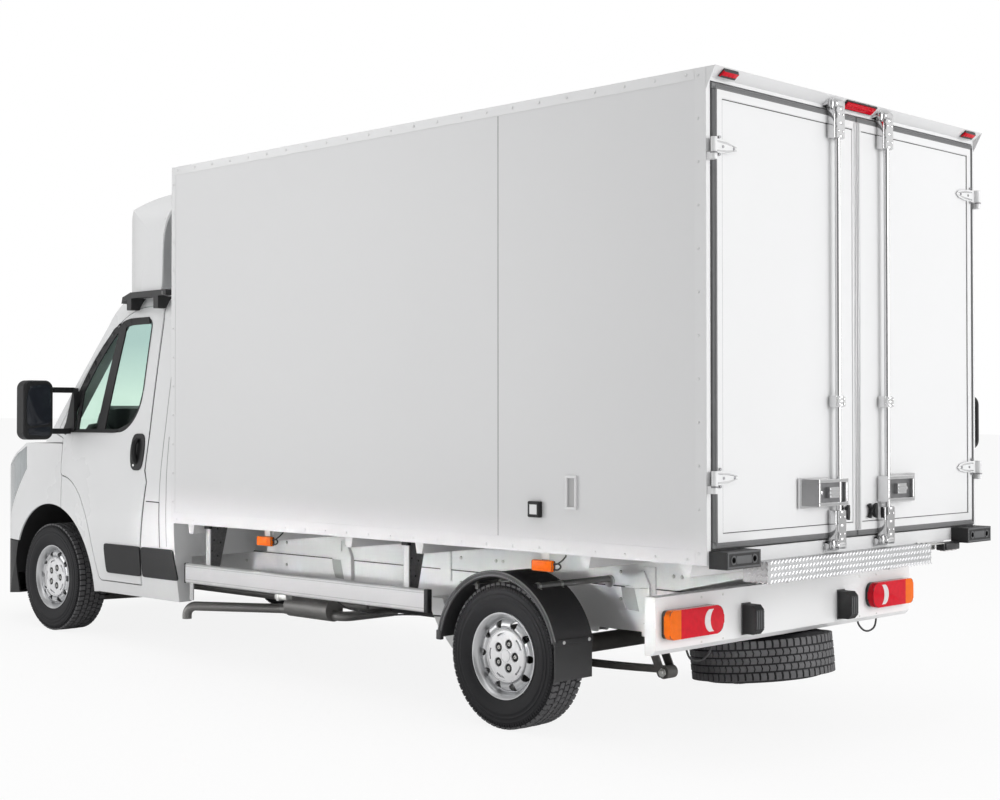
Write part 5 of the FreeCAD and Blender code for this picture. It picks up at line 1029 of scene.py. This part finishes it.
stainless = finish("polished stainless", (0.70, 0.70, 0.705), 0.10, metal=1.0, mottle=0.10,
                   mottle_size=20, stretch=(1, 1, 0.1))
gasket_grey = finish("door gasket", (0.170, 0.172, 0.175), 0.55, mottle=0.12, mottle_size=12,
                     grain=0.2)
anodised = finish("anodised profile", (0.50, 0.50, 0.505), 0.30, metal=0.9, mottle=0.06,
                  stretch=(1, 1, 0.1))
# Painted shade: a dark steel for the back of the handle's box, where shade falls.
recess_shade_steel = finish("shaded steel", (0.20, 0.20, 0.205), 0.35, metal=0.9, mottle=0.2,
                    mottle_size=30)
bolt_steel = finish("bolt steel", (0.30, 0.30, 0.31), 0.35, metal=0.9, mottle=0.2,
                    mottle_size=60)
dress(stainless, "rear_lock_left", "rear_lock_right")
DOOR_FACE = BOX_REAR + 0.012
OPEN_X, OPEN_LOW, OPEN_TOP = 1.082, 0.913, 2.829
ROD_X, ROD_Y = 0.205, DOOR_FACE + 0.030
HINGE_ZS, PIN_X, PIN_Y = (2.5653, 1.2053), 1.097, 5.344
for side, word in SIDES:
    body = "rear_door_" + word
    y = (BOX_REAR - 0.012, BOX_REAR + 0.010)
    rows = [(span(side, 0.004, OPEN_X), y, (OPEN_TOP - 0.030, OPEN_TOP - 0.004), 0.004),
            (span(side, 0.004, OPEN_X), y, (OPEN_LOW + 0.004, OPEN_LOW + 0.030), 0.004),
            (span(side, OPEN_X - 0.030, OPEN_X - 0.004), y,
             (OPEN_LOW + 0.0305, OPEN_TOP - 0.0305), 0.004)]
    for shift in (0.010, 0.018):
        for x, z in ((span(side, OPEN_X - shift - 0.002, OPEN_X - shift + 0.001),
                      (OPEN_LOW + 0.02, OPEN_TOP - 0.02)),
                     (span(side, 0.004, OPEN_X - 0.02),
                      (OPEN_TOP - shift - 0.002, OPEN_TOP - shift + 0.001)),
                     (span(side, 0.004, OPEN_X - 0.02),
                      (OPEN_LOW + shift - 0.001, OPEN_LOW + shift + 0.002))):
            rows.append((x, (BOX_REAR + 0.008, BOX_REAR + 0.013), z, 0.0008, 1))
    of_blocks("door_gasket_" + word, rows, gasket_grey, body)
    tall = (OPEN_LOW + 0.031, OPEN_TOP - 0.031)
    of_blocks("meeting_profile_" + word, [
        (span(side, 0.005, 0.024), (DOOR_FACE - 0.004, DOOR_FACE + 0.003), tall, 0.0015),
        (span(side, 0.010, 0.018), (DOOR_FACE + 0.002, DOOR_FACE + 0.006), tall, 0.0015)],
        anodised, body)
    inner = 0.034
    x0, x1 = 0.026, OPEN_X - 0.031 - inner
    z0, z1 = OPEN_LOW + 0.031 + inner, OPEN_TOP - 0.031 - inner
    of_blocks("door_border_groove_" + word, [
        (span(side, *x), (DOOR_FACE - 0.0045, DOOR_FACE - 0.0030), z, 0)
        for x, z in (((x0, x1), (z1 - 0.003, z1)), ((x0, x1), (z0, z0 + 0.003)),
                     ((x1 - 0.003, x1), (z0, z1)))], seam_black, body)

    straps, strap_bolts = bmesh.new(), bmesh.new()
    for z in HINGE_ZS:
        for dz in (-0.019, 0.019):
            add_tube(straps, [(side * 1.062, DOOR_FACE + 0.0020, z + dz),
                              (side * 0.992, DOOR_FACE + 0.0030, z + dz * 0.9),
                              (side * 0.925, DOOR_FACE + 0.0030, z + dz * 0.3)],
                     [0.0045, 0.0055, 0.003], 10)
        for x, dz in ((1.020, 0.0), (0.945, 0.0), (1.043, 0.037), (1.043, -0.034)):
            add_turned(strap_bolts, [(0, 0.0068), (0.004, 0.0062), (0.0045, 0.003), (0.0045, 0)],
                       (side * x, DOOR_FACE + 0.004, z + dz), (0, 1, 0), 6)
        add_turned(strap_bolts, [(-0.037, 0), (-0.037, 0.0145), (-0.034, 0.0155), (-0.031, 0.0145),
                                 (-0.031, 0)], (side * PIN_X, PIN_Y, z), (0, 0, 1), 24)
    placed("hinge_ribs_" + word, straps, stainless, body, smooth=True)
    placed("hinge_bolts_" + word, strap_bolts, bolt_steel, body)

    lock = bmesh.new()
    for z, half, reach in ((2.7650, 0.034, 0.060), (1.525, 0.027, 0.018),
                           (0.9740, 0.034, 0.060)):
        for dz in (-reach, 0, reach):
            add_turned(lock, [(-0.007, 0.0140), (-0.007, 0.0215), (-0.004, 0.0235),
                              (0.004, 0.0235), (0.007, 0.0215), (0.007, 0.0140)],
                       (side * ROD_X, ROD_Y, z + dz), (0, 0, 1), 24)
        for dx in (-1, 1):
            add_block(lock, span(side, ROD_X + dx * half - 0.004, ROD_X + dx * half + 0.004),
                      (DOOR_FACE, ROD_Y + 0.010), (z - reach - 0.008, z + reach + 0.008), 0.002)
        for dx in (-0.018, 0.018):
            for dz in (-reach * 0.62, reach * 0.62):
                add_turned(lock, [(0, 0.0060), (0.003, 0.0055), (0.004, 0.003), (0.004, 0)],
                           (side * (ROD_X + dx), ROD_Y + 0.0185, z + dz), (0, 1, 0), 6)
    for z, turn in ((2.8490, 1), (0.8890, -1)):
        for dx in (-0.044, 0.044):
            add_turned(lock, [(-0.020, 0), (-0.020, 0.010), (-0.006, 0.013), (0.014, 0.013),
                              (0.020, 0.009), (0.020, 0)],
                       (side * (ROD_X + dx), ROD_Y - 0.004, z), (0, 0, turn), 18)
        add_push(lock, [(side * (ROD_X + dx), z + dz) for dx, dz in (
            (-0.026, -0.012), (0.026, -0.012), (0.034, 0.002), (0.014, 0.013),
            (-0.014, 0.013), (-0.034, 0.002))], ROD_Y - 0.015, ROD_Y + 0.018, "y", 0.004)
    placed("lock_fittings_" + word, lock, stainless, body, smooth=True)

    handle = bmesh.new()
    x0, x1, z0, z1 = ROD_X - 0.036, ROD_X + 0.196, 1.065, 1.183
    mid = (z0 + 0.0155, z1 - 0.0155)
    for x, z in (((x0, x1), (z1 - 0.015, z1)), ((x0, x1), (z0, z0 + 0.015)),
                 ((x0, x0 + 0.015), mid), ((x1 - 0.015, x1), mid)):
        add_block(handle, span(side, *x), (DOOR_FACE + 0.052, DOOR_FACE + 0.0585), z, 0.0025)
    for dz in (-0.016, 0.0, 0.016):
        add_block(handle, span(side, ROD_X + 0.044, ROD_X + 0.114),
                  (DOOR_FACE + 0.059, DOOR_FACE + 0.062), (1.124 + dz - 0.004, 1.124 + dz + 0.004),
                  0.0014)
    add_turned(handle, [(0, 0.009), (0.003, 0.009), (0.004, 0.006), (0.004, 0)],
               (side * (ROD_X + 0.150), DOOR_FACE + 0.040, 1.124), (0, 1, 0), 20)
    placed("paddle_rim_" + word, handle, stainless, body)
    # The back of the handle's box is a plate of painted shade.
    of_blocks("paddle_recess_" + word, [
        (span(side, x0 + 0.0155, x1 - 0.0155), (DOOR_FACE + 0.0395, DOOR_FACE + 0.0410), mid, 0)],
        recess_shade_steel, body)
    of_blocks("rod_keepers_" + word, [row for z in (2.857, 0.882) for row in [
        (span(side, ROD_X - 0.060, ROD_X + 0.060), (BOX_REAR + 0.0005, BOX_REAR + 0.0055),
         (z - 0.021, z + 0.021), 0.002)] + [
        (span(side, ROD_X + dx - 0.006, ROD_X + dx + 0.006),
         (BOX_REAR + 0.004, BOX_REAR + 0.030), (z - 0.015, z + 0.015), 0.003)
        for dx in (-0.052, 0.052)]], stainless, "truck", smooth=True)

    clips = bmesh.new()
    cx = 0.126 if side > 0 else 0.108
    for dx in (-0.026, 0.026):
        x = side * (cx + dx)
        add_push(clips, [(x - 0.007, 0.992), (x + 0.007, 0.998), (side * (cx + dx * 0.3), 1.025),
                         (x + 0.007, 1.052), (x - 0.007, 1.060), (x - 0.010, 1.026)],
                 DOOR_FACE, DOOR_FACE + 0.018, "y", 0.002)
    add_block(clips, (side * cx - 0.020, side * cx + 0.020), (DOOR_FACE, DOOR_FACE + 0.010),
              (1.016, 1.036), 0.003)
    placed("hook_clip_" + word, clips, black_plastic, body)


# Side guards, mudguards and what hangs on the frame
# Galvanised gussets and steel stays, black mudguards whose lip ribs are a lighter grey as a painted
# highlight, folded brackets on the rails and the brake cable that sags beside them.

galvanised = finish("galvanised gusset", (0.190, 0.190, 0.192), 0.5, metal=0.5, mottle=0.5,
                    mottle_size=70, grain=0.3, grain_size=160)
stay_steel = finish("steel stay", (0.30, 0.30, 0.30), 0.32, metal=0.7, mottle=0.2,
                    mottle_size=14)
# Painted highlight: the ribs of the mudguard lips are a lighter grey that stands for light falling
# on them.
lip_highlight_grey = finish("mudguard lip with painted highlight", (0.135, 0.137, 0.140), 0.45, mottle=0.25,
                  mottle_size=12)
web_grey = finish("shaded bracket paint", (0.36, 0.36, 0.36), 0.5, mottle=0.1, dust=0.2)
cable_black = finish("black cable", (0.020, 0.020, 0.021), 0.5, mottle=0.2, mottle_size=40)
ARCH_Y, ARCH_Z, ARCH_RADIUS = 4.025, 0.345, 0.388
SHACKLE = (4.650, 0.285)
spring_skin = skin_of("leaf_springs")


def on_arch(radius, degrees):
    """A place (y, z) on a circle about the middle of the mudguard."""
    angle = math.radians(degrees)
    return ARCH_Y + radius * math.cos(angle), ARCH_Z + radius * math.sin(angle)


for side, word in SIDES:
    skins = bmesh.new()
    holes = []
    for y in (1.6552, 3.3352):
        corners = [(0.965, 0.850), (0.824, 0.850), (0.884, 0.594), (0.934, 0.560), (0.934, 0.548),
                   (0.965, 0.524)]
        add_push(skins, [(side * x, z) for x, z in corners], y, y + 0.0018, "y", 0.0006)
        for x, z in ((0.945, 0.820), (0.900, 0.815), (0.855, 0.822), (0.925, 0.750),
                     (0.880, 0.735), (0.940, 0.690), (0.900, 0.660), (0.920, 0.600)):
            holes.append(((side * x, y + 0.0018, z), (side * (x + 0.001), y + 0.0018, z)))
    placed("gusset_skins_" + word, skins, galvanised, "truck")
    # The holes in the gussets are dark discs of painted shade.
    fastened("gusset_holes_" + word, holes, (0, 1, 0), painted_shade_black, "truck", spacing=0.1,
             radius=0.0055, height=0.0006, sides=10, slot="guard_metal")

    of_blocks("guard_caps_" + word, [
        (span(side, 0.970, 1.0005), y, (0.4985, 0.6135), 0.003)
        for y in ((1.468, 1.478), (3.504, 3.5325))] + [
        (span(side, 0.960, 0.984), (y - 0.002, y + 0.046), (0.818, 0.850), 0.003)
        for y in (1.644, 3.324)], black_plastic, "truck", smooth=True)
    lines = bmesh.new()
    for z in (0.5185, 0.5935):
        add_push(lines, [(1.480, z), (3.503, z), (3.503, z + 0.0032), (1.480, z + 0.0032)],
                 side * 0.9975, side * 0.9986, "x")
    placed("guard_lines_" + word, lines, joint_grey, "truck")
    of_blocks("guard_bracket_" + word, [
        (span(side, 0.952, 0.996), (2.312, 2.412), (0.472, 0.499), 0.004),
        (span(side, 0.958, 0.9975), (2.330, 2.350), (0.464, 0.500), 0.002)],
        zinc, "truck", smooth=True)

    # The two lip ribs carry the painted highlight.
    lip = bmesh.new()
    for radius, half in ((0.3935, 0.0032), (0.3755, 0.0026)):
        add_tube(lip, [(side * 1.0300, *on_arch(radius, a)) for a in range(15, 173, 3)],
                 half, 8)
    placed("mudguard_lip_" + word, lip, lip_highlight_grey, "truck", smooth=True)
    of_blocks("mudguard_clips_" + word, [
        (span(side, 0.772, 1.030), (4.398, 4.4055), (0.424, 0.452), 0.003),
        (span(side, 1.012, 1.0345), (3.628, 3.662), (0.385, 0.432), 0.005)],
        moulded_black, "truck", smooth=True)
    rivets = bmesh.new()
    for x in (0.800, 0.972):
        add_turned(rivets, [(0.0, 0.0085), (0.003, 0.0080), (0.0045, 0.0050), (0.005, 0)],
                   (side * x, 4.4052, 0.438), (0, 1, 0), 16)
    placed("flap_rivets_" + word, rivets, frame_grey, "truck", smooth=True)

    stays, washers = bmesh.new(), bmesh.new()
    for y in (3.815, 4.225):
        z = ARCH_Z + math.sqrt(ARCH_RADIUS ** 2 - (y - ARCH_Y) ** 2)
        add_tube(stays, [(side * 0.456, y, z), (side * 0.968, y, z)], 0.0155, 16)
        add_turned(washers, [(0.0, 0.031), (0.004, 0.031), (0.006, 0.028), (0.006, 0)],
                   (side * 0.4515, y + 0.006, z - 0.012), (side, 0, 0), 20)
        for x in (0.800, 0.950):
            add_turned(washers, [(-0.007, 0.0150), (-0.007, 0.0185), (0.007, 0.0185),
                                 (0.007, 0.0150)], (side * x, y, z), (1, 0, 0), 16)
            add_block(washers, (side * x - 0.006, side * x + 0.006), (y + 0.002, y + 0.022),
                      (z - 0.036, z - 0.012), 0.002)
    placed("mudguard_stays_" + word, stays, stay_steel, "truck", smooth=True)
    placed("stay_clamps_" + word, washers, zinc, "truck", smooth=True)

    folded, shaded = bmesh.new(), bmesh.new()
    for y in (2.300, 4.460):
        add_push(folded, [(y - 0.120, 0.652), (y - 0.085, 0.652), (y - 0.030, 0.728),
                          (y - 0.005, 0.730), (y + 0.030, 0.668), (y + 0.030, 0.645),
                          (y - 0.120, 0.645)], side * 0.4505, side * 0.470, "x", 0.002)
        add_push(folded, [(y - 0.058, 0.645), (y + 0.034, 0.652), (y + 0.034, 0.535),
                          (y - 0.028, 0.535)], side * 0.4505, side * 0.474, "x", 0.002)
        add_push(shaded, [(y - 0.150, 0.645), (y - 0.060, 0.645), (y - 0.030, 0.535),
                          (y - 0.118, 0.540), (y - 0.140, 0.590)], side * 0.4505, side * 0.462,
                 "x", 0.002)
    placed("rail_brackets_" + word, folded, frame_grey, "truck")
    placed("rail_bracket_webs_" + word, shaded, web_grey, "truck")
    # The seam where the sub-frame meets the rail is a thin strip of painted shade.
    seam = bmesh.new()
    add_push(seam, [(1.100, 0.6435), (4.930, 0.6435), (4.930, 0.6490), (1.100, 0.6490)],
             side * 0.4492, side * 0.4525, "x")
    placed("frame_seam_" + word, seam, painted_shade_black, "truck")

    leads = bmesh.new()
    for y in (2.384, 4.426):
        add_tube(leads, smooth_line([(side * 1.064, y + dy, z) for dy, z in (
            (0, 0.796), (0.030, 0.802), (0.044, 0.790), (0.028, 0.776), (0, 0.774))]), 0.0042, 8)
    placed("side_lamp_loops_" + word, leads, cable_black, "truck", smooth=True)
    lead = bmesh.new()
    add_tube(lead, smooth_line([(side * x, y, z) for x, y, z in (
        (0.600, 4.945, 0.462), (0.606, 4.950, 0.425), (0.650, 4.952, 0.392),
        (0.704, 4.952, 0.385), (0.756, 4.950, 0.404), (0.782, 4.945, 0.462))]), 0.0048, 8)
    placed("tail_lamp_lead_" + word, lead, cable_black, "truck", smooth=True)
    bolt = bmesh.new()
    y, z = SHACKLE
    add_turned(bolt, [(-0.002, 0), (-0.002, 0.021), (0.003, 0.021), (0.003, 0.013),
                      (0.013, 0.013), (0.015, 0.011), (0.015, 0)],
               (out_at(spring_skin, y, z, side), y, z), (side, 0, 0), 6)
    placed("shackle_bolt_" + word, bolt, zinc, "truck", smooth=True)

cable = bmesh.new()
add_tube(cable, smooth_line([(0.760, 2.480, 0.505), (0.800, 2.654, 0.446), (0.800, 2.760, 0.430),
                             (0.800, 2.874, 0.424), (0.800, 3.032, 0.430),
                             (0.800, 3.148, 0.442), (0.800, 3.298, 0.452),
                             (0.780, 3.480, 0.458)]), 0.0042, 8)
placed("brake_cable", cable, cable_black, "truck", smooth=True)

# Lamps
# Black housings with coloured lenses: amber, red and clear sections at the tail, amber blocks
# under the box, and red ones with a row of bright spots on the slant of the header.

lamp_black = finish("lamp housing", (0.012, 0.012, 0.013), 0.35, mottle=0.15, mottle_size=20)
red_lens = finish("red lens", (0.62, 0.004, 0.018), 0.08, mottle=0.22, mottle_size=45,
                  shine=0.15)
amber_lens = finish("amber lens", (0.85, 0.155, 0.006), 0.10, mottle=0.14, mottle_size=50,
                    shine=0.15)
clear_lens = finish("clear lens over a reflector", (0.74, 0.70, 0.70), 0.14, metal=0.25,
                    coat=1.0, mottle=0.12, mottle_size=70)
dress(lamp_black, "lamps")
BAR_REAR = 4.984


def sliced(shape, at, keep_above):
    """Cuts a shape across X at a place and keeps one closed half of it."""
    cut = bmesh.ops.bisect_plane(shape, geom=shape.verts[:] + shape.edges[:] + shape.faces[:],
                                 plane_co=(at, 0, 0), plane_no=(1, 0, 0),
                                 clear_inner=keep_above, clear_outer=not keep_above)
    rim = [g for g in cut["geom_cut"] if isinstance(g, bmesh.types.BMEdge)]
    bmesh.ops.holes_fill(shape, edges=rim)


def arc_points(x, z, radius, first, last, steps=6):
    """Points of an arc in degrees, in the (x, z) plane."""
    return [(x + radius * math.cos(math.radians(first + (last - first) * k / steps)),
             z + radius * math.sin(math.radians(first + (last - first) * k / steps)))
            for k in range(steps + 1)]


INNER, OUTER, LENS_LOW, LENS_HIGH, AMBER_START = 0.6125, 0.9945, 0.5085, 0.6335, 0.918
for side, word in SIDES:
    lens_edge = arc_points(INNER + 0.047, LENS_LOW + 0.047, 0.047, 180, 270) + \
        arc_points(OUTER - 0.024, LENS_LOW + 0.024, 0.024, 270, 360) + \
        arc_points(OUTER - 0.024, LENS_HIGH - 0.024, 0.024, 0, 90) + \
        arc_points(INNER + 0.047, LENS_HIGH - 0.047, 0.047, 90, 180)
    if side < 0:
        lens_edge = [(-x, z) for x, z in lens_edge[::-1]]
    for part, material, above in (("red", red_lens, side < 0), ("amber", amber_lens, side > 0)):
        lens = bmesh.new()
        add_push(lens, lens_edge, BAR_REAR + 0.014, BAR_REAR + 0.0475, "y", 0.0075, 4)
        sliced(lens, side * AMBER_START, above)
        placed("tail_lens_%s_%s" % (part, word), lens, material, "truck",
               smooth=True)
    middle = (LENS_LOW + LENS_HIGH) / 2
    moon = arc_points(0.700, middle, 0.054, -64, 64, 10) + \
        arc_points(0.652, middle, 0.062, 52, -52, 10)
    clear = bmesh.new()
    add_push(clear, [(side * x, z) for x, z in moon], BAR_REAR + 0.0470, BAR_REAR + 0.0486, "y")
    placed("tail_lens_clear_" + word, clear, clear_lens, "truck")
    screws = bmesh.new()
    for x in (0.560, 0.716):
        for z in (0.474, 0.668):
            add_turned(screws, [(0, 0.0055), (0.002, 0.005), (0.003, 0.003), (0.003, 0)],
                       (side * x, BAR_REAR, z), (0, 1, 0), 12)
    placed("bar_screws_" + word, screws, zinc, "truck", smooth=True)

    places = (2.262, 4.304)
    of_blocks("side_lenses_" + word, [row for y in places for row in (
        (span(side, 1.0575, 1.0795), (y - 0.0015, y + 0.1235), (0.7635, 0.8145), 0.007, 3),
        (span(side, 1.079, 1.081), (y + 0.030, y + 0.092), (0.776, 0.802), 0.002))],
        amber_lens, "truck", smooth=True)
    of_blocks("side_lamp_tabs_" + word, [
        (span(side, 1.0475, 1.0518), (y + 0.0375, y + 0.0845), (0.8155, 0.8512), 0.0008, 1)
        for y in places], strip_white, "truck")
    wires = bmesh.new()
    for y in places:
        add_tube(wires, [(side * x, y + dy, z) for x, dy, z in (
            (1.064, 0.122, 0.800), (1.062, 0.146, 0.802), (1.052, 0.166, 0.818),
            (1.035, 0.170, 0.834), (1.010, 0.150, 0.843), (0.98, 0.110, 0.849))], 0.0038, 8)
    placed("side_lamp_wires_" + word, wires, lamp_black, "truck", smooth=True)

slant_start = Vector((0, BOX_REAR, 2.850))
slant_run = Vector((0, 0.048, 0.035))
slant_out = Vector((0, 0.035, -0.048)).normalized()


def slant_at(share, lift):
    """A place on the underside of the header, from a share of its depth and a lift off it."""
    return slant_start + slant_run * share + slant_out * lift


def on_slant(shape, x, corners, edge):
    """A rounded slab on the underside of the header, its corners given by share and lift."""
    places = [slant_at(*corner) for corner in corners]
    add_push(shape, [(c.y, c.z) for c in places], x[0], x[1], "x", edge)


header_lens, header_case = bmesh.new(), bmesh.new()
on_slant(header_case, (-0.124, 0.128),
         ((0.10, 0.0002), (0.92, 0.0002), (0.92, 0.007), (0.10, 0.007)), 0.002)
on_slant(header_lens, (-0.117, 0.121),
         ((0.20, 0.0065), (0.82, 0.0065), (0.82, 0.012), (0.20, 0.012)), 0.002)
spot = slant_at(0.51, 0.0118)
for k in range(11):
    add_turned(header_lens, [(0, 0.0085), (0.002, 0.0065), (0.003, 0)],
               (-0.102 + k * 0.0208, spot.y, spot.z), slant_out, 12)
spot = slant_at(0.55, 0.0150)
for side in (1, -1):
    on_slant(header_lens, span(side, 0.9465, 1.0475),
             ((0.26, 0.006), (0.84, 0.006), (0.80, 0.0153), (0.30, 0.0153)), 0.003)
    for dx in (-0.024, 0.0, 0.024):
        add_turned(header_lens, [(0, 0.009), (0.0015, 0.006), (0.0022, 0)],
                   (side * 0.997 + dx, spot.y, spot.z), slant_out, 12)
placed("header_lamp_case", header_case, lamp_black, "truck")
placed("header_lenses", header_lens, red_lens, "truck", smooth=True)

# Sill: chequer plate, corner buffers and the place for a number plate
# Bright plate with raised bars set crosswise, rubber corner blocks let into grey faces, and a
# small lamp beside a bare bracket. The plate itself stays off.

bright_plate = finish("bright chequer plate", (0.50, 0.505, 0.51), 0.36, metal=0.85, mottle=0.12,
                      mottle_size=14, grain=0.15, grain_size=200)
bright_bars = finish("worn bars of the plate", (0.60, 0.60, 0.61), 0.36, metal=0.85, mottle=0.10,
                     mottle_size=60)
buffer_black = finish("buffer rubber", (0.014, 0.014, 0.015), 0.6, mottle=0.2, mottle_size=18,
                      grain=0.2, grain_size=260)
buffer_face = finish("scuffed buffer face", (0.085, 0.087, 0.090), 0.55, mottle=0.22,
                     mottle_size=26, grain=0.3, grain_size=180)
dress(bright_plate, "rear_step")
dress(buffer_black, "rear_buffers")
dress(finish("bright side guard", (0.55, 0.553, 0.556), 0.34, metal=0.35, mottle=0.04,
             mottle_size=5, stretch=(1, 0.1, 1)), "side_guards")
dress(finish("painted bar", (0.84, 0.842, 0.845), 0.34, coat=0.3, mottle=0.02, mottle_size=4,
             dust=0.06, dust_top=0.6), "underrun_bar")


def chequer_tree():
    """Raised bars in a grid that leans one way, with a second grid between that leans back."""
    tree, start, end = tree_with("chequer bars", [
        ("Columns", "Int"), ("Rows", "Int"), ("Step", "Float"), ("Bar", "Object"),
        ("Lean", "Float"), ("Finish", "Material")])
    given = start.outputs
    sizes = [worked(tree, "MULTIPLY", worked(tree, "SUBTRACT", given[label], 1), given["Step"])
             for label in ("Columns", "Rows")]
    half = worked(tree, "MULTIPLY", given["Step"], 0.5)
    back = worked(tree, "MULTIPLY", given["Lean"], -1)
    bar = add_node(tree, "GeometryNodeObjectInfo", {"Object": given["Bar"]})
    both = add_node(tree, "GeometryNodeJoinGeometry")
    for number, lean in enumerate((given["Lean"], back)):
        grid = add_node(tree, "GeometryNodeMeshGrid", {
            "Size X": sizes[0], "Size Y": sizes[1], "Vertices X": given["Columns"],
            "Vertices Y": given["Rows"]})
        turn = add_node(tree, "ShaderNodeCombineXYZ", {"Z": lean})
        euler = add_node(tree, "FunctionNodeEulerToRotation", {0: turn.outputs[0]})
        last = add_node(tree, "GeometryNodeInstanceOnPoints", {
            "Points": grid.outputs["Mesh"], "Instance": bar.outputs["Geometry"],
            "Rotation": euler.outputs[0]})
        if number:
            shift = add_node(tree, "ShaderNodeCombineXYZ", {"X": half})
            last = add_node(tree, "GeometryNodeTransform", {
                "Geometry": last.outputs[0], "Translation": shift.outputs[0]})
        feed(both, {0: last.outputs[0]})
    return painted(tree, both.outputs[0], start, end)


bar_shape = bmesh.new()
ridge = [bar_shape.verts.new(p) for p in ((-0.0125, 0, 0.0012), (0.0125, 0, 0.0012))]
foot = [bar_shape.verts.new(p) for p in ((-0.0150, 0, 0), (-0.005, -0.0034, 0),
                                         (0.005, -0.0034, 0), (0.0150, 0, 0),
                                         (0.005, 0.0034, 0), (-0.005, 0.0034, 0))]
for face in ((foot[0], foot[1], ridge[0]), (foot[1], foot[2], ridge[1], ridge[0]),
             (foot[2], foot[3], ridge[1]), (foot[3], foot[4], ridge[1]),
             (foot[4], foot[5], ridge[0], ridge[1]), (foot[5], foot[0], ridge[0]),
             tuple(foot[::-1])):
    bar_shape.faces.new(face)
bar_pattern = in_scene("chequer_bar", as_mesh(bar_shape, "chequer_bar"))
chequers = chequer_tree()
STEP_MIDDLE, STEP_REAR, STEP_HIGH = 0.138, 5.400, 0.851
for name, place_at, turn, tip, columns, rows in (
        ("step_bars_rear", (STEP_MIDDLE, STEP_REAR, 0.808), 180, 90, 50, 4),
        ("step_bars_left", (0.810, 5.343, 0.808), 90, 90, 4, 4),
        ("step_bars_right", (-0.520, 5.343, 0.808), -90, 90, 4, 4),
        ("step_bars_top", (STEP_MIDDLE, 5.368, STEP_HIGH), 0, 0, 50, 2)):
    bars = grown(bpy.data.meshes.new(name), chequers, {
        "Columns": columns, "Rows": rows, "Step": 0.0262, "Bar": bar_pattern,
        "Lean": math.radians(45), "Finish": bright_bars}, name)
    bars.transform(Matrix.Translation(place_at) @ Matrix.Rotation(math.radians(turn), 4, "Z") @
                   Matrix.Rotation(math.radians(tip), 4, "X"))
    placed(name, bars, bright_bars, "truck")
bpy.data.objects.remove(bar_pattern)

BUFFER_X, BUFFER_Z = 0.390, 0.876
for side, word in SIDES:
    face = bmesh.new()
    y, z = BOX_REAR + 0.090, BUFFER_Z
    for x, low, high in (((0.869, 1.094), 0.026, 0.034), ((0.869, 1.094), -0.034, -0.026),
                         ((0.869, 0.877), -0.0255, 0.0255), ((1.086, 1.094), -0.0255, 0.0255),
                         ((0.930, 1.033), -0.016, 0.016)):
        add_block(face, span(side, *x), (y - 0.001, y + 0.0022), (z + low, z + high), 0.0012)
    for x in (0.910, 1.053):
        add_turned(face, [(0, 0.0125), (0, 0.019), (0.0030, 0.0185), (0.0030, 0.0135),
                          (0.001, 0.0125)], (side * x, y, z), (0, 1, 0), 28)
        add_turned(face, [(-0.028, 0), (-0.028, 0.0105), (-0.022, 0.0105), (-0.020, 0.007),
                          (-0.020, 0)], (side * x, y, z), (0, 1, 0), 6)
    placed("sill_buffer_face_" + word, face, buffer_face, "truck", smooth=True)
    ridges = bmesh.new()
    for dx in (-0.024, -0.008, 0.008, 0.024):
        add_push(ridges, [(BAR_REAR + 0.0802, 0.505), (BAR_REAR + 0.083, 0.508),
                          (BAR_REAR + 0.083, 0.585), (BAR_REAR + 0.0802, 0.588)],
                 side * BUFFER_X + dx - 0.004, side * BUFFER_X + dx + 0.004, "x")
    add_block(ridges, (side * BUFFER_X - 0.033, side * BUFFER_X + 0.033),
              (BAR_REAR + 0.0005, BAR_REAR + 0.006), (0.474, 0.618), 0.002)
    placed("bar_buffer_ridges_" + word, ridges, buffer_face, "truck")

bracket = bmesh.new()
add_block(bracket, (-0.700, -0.524), (5.318, 5.372), (0.842, 0.8455), 0.001, 1)
add_block(bracket, (-0.700, -0.524), (5.3155, 5.319), (0.812, 0.8450), 0.001, 1)
for x in (-0.56, -0.66):
    add_turned(bracket, [(0, 0.006), (0.003, 0.0055), (0.004, 0)], (x, 5.319, 0.828), (0, 1, 0), 6)
placed("plate_bracket", bracket, zinc, "truck")
of_blocks("plate_lamp", [
    ((-0.860, -0.705), (5.322, 5.366), (0.808, 0.846), 0.006, 3),
    ((-0.846, -0.719), (5.365, 5.372), (0.812, 0.842), 0.003)],
    lamp_black, "truck", smooth=True)
of_blocks("plate_lamp_lenses", [
    ((x - 0.022, x + 0.022), (5.330, 5.362), (0.8035, 0.809), 0.002)
    for x in (-0.815, -0.750)], clear_lens, "truck")
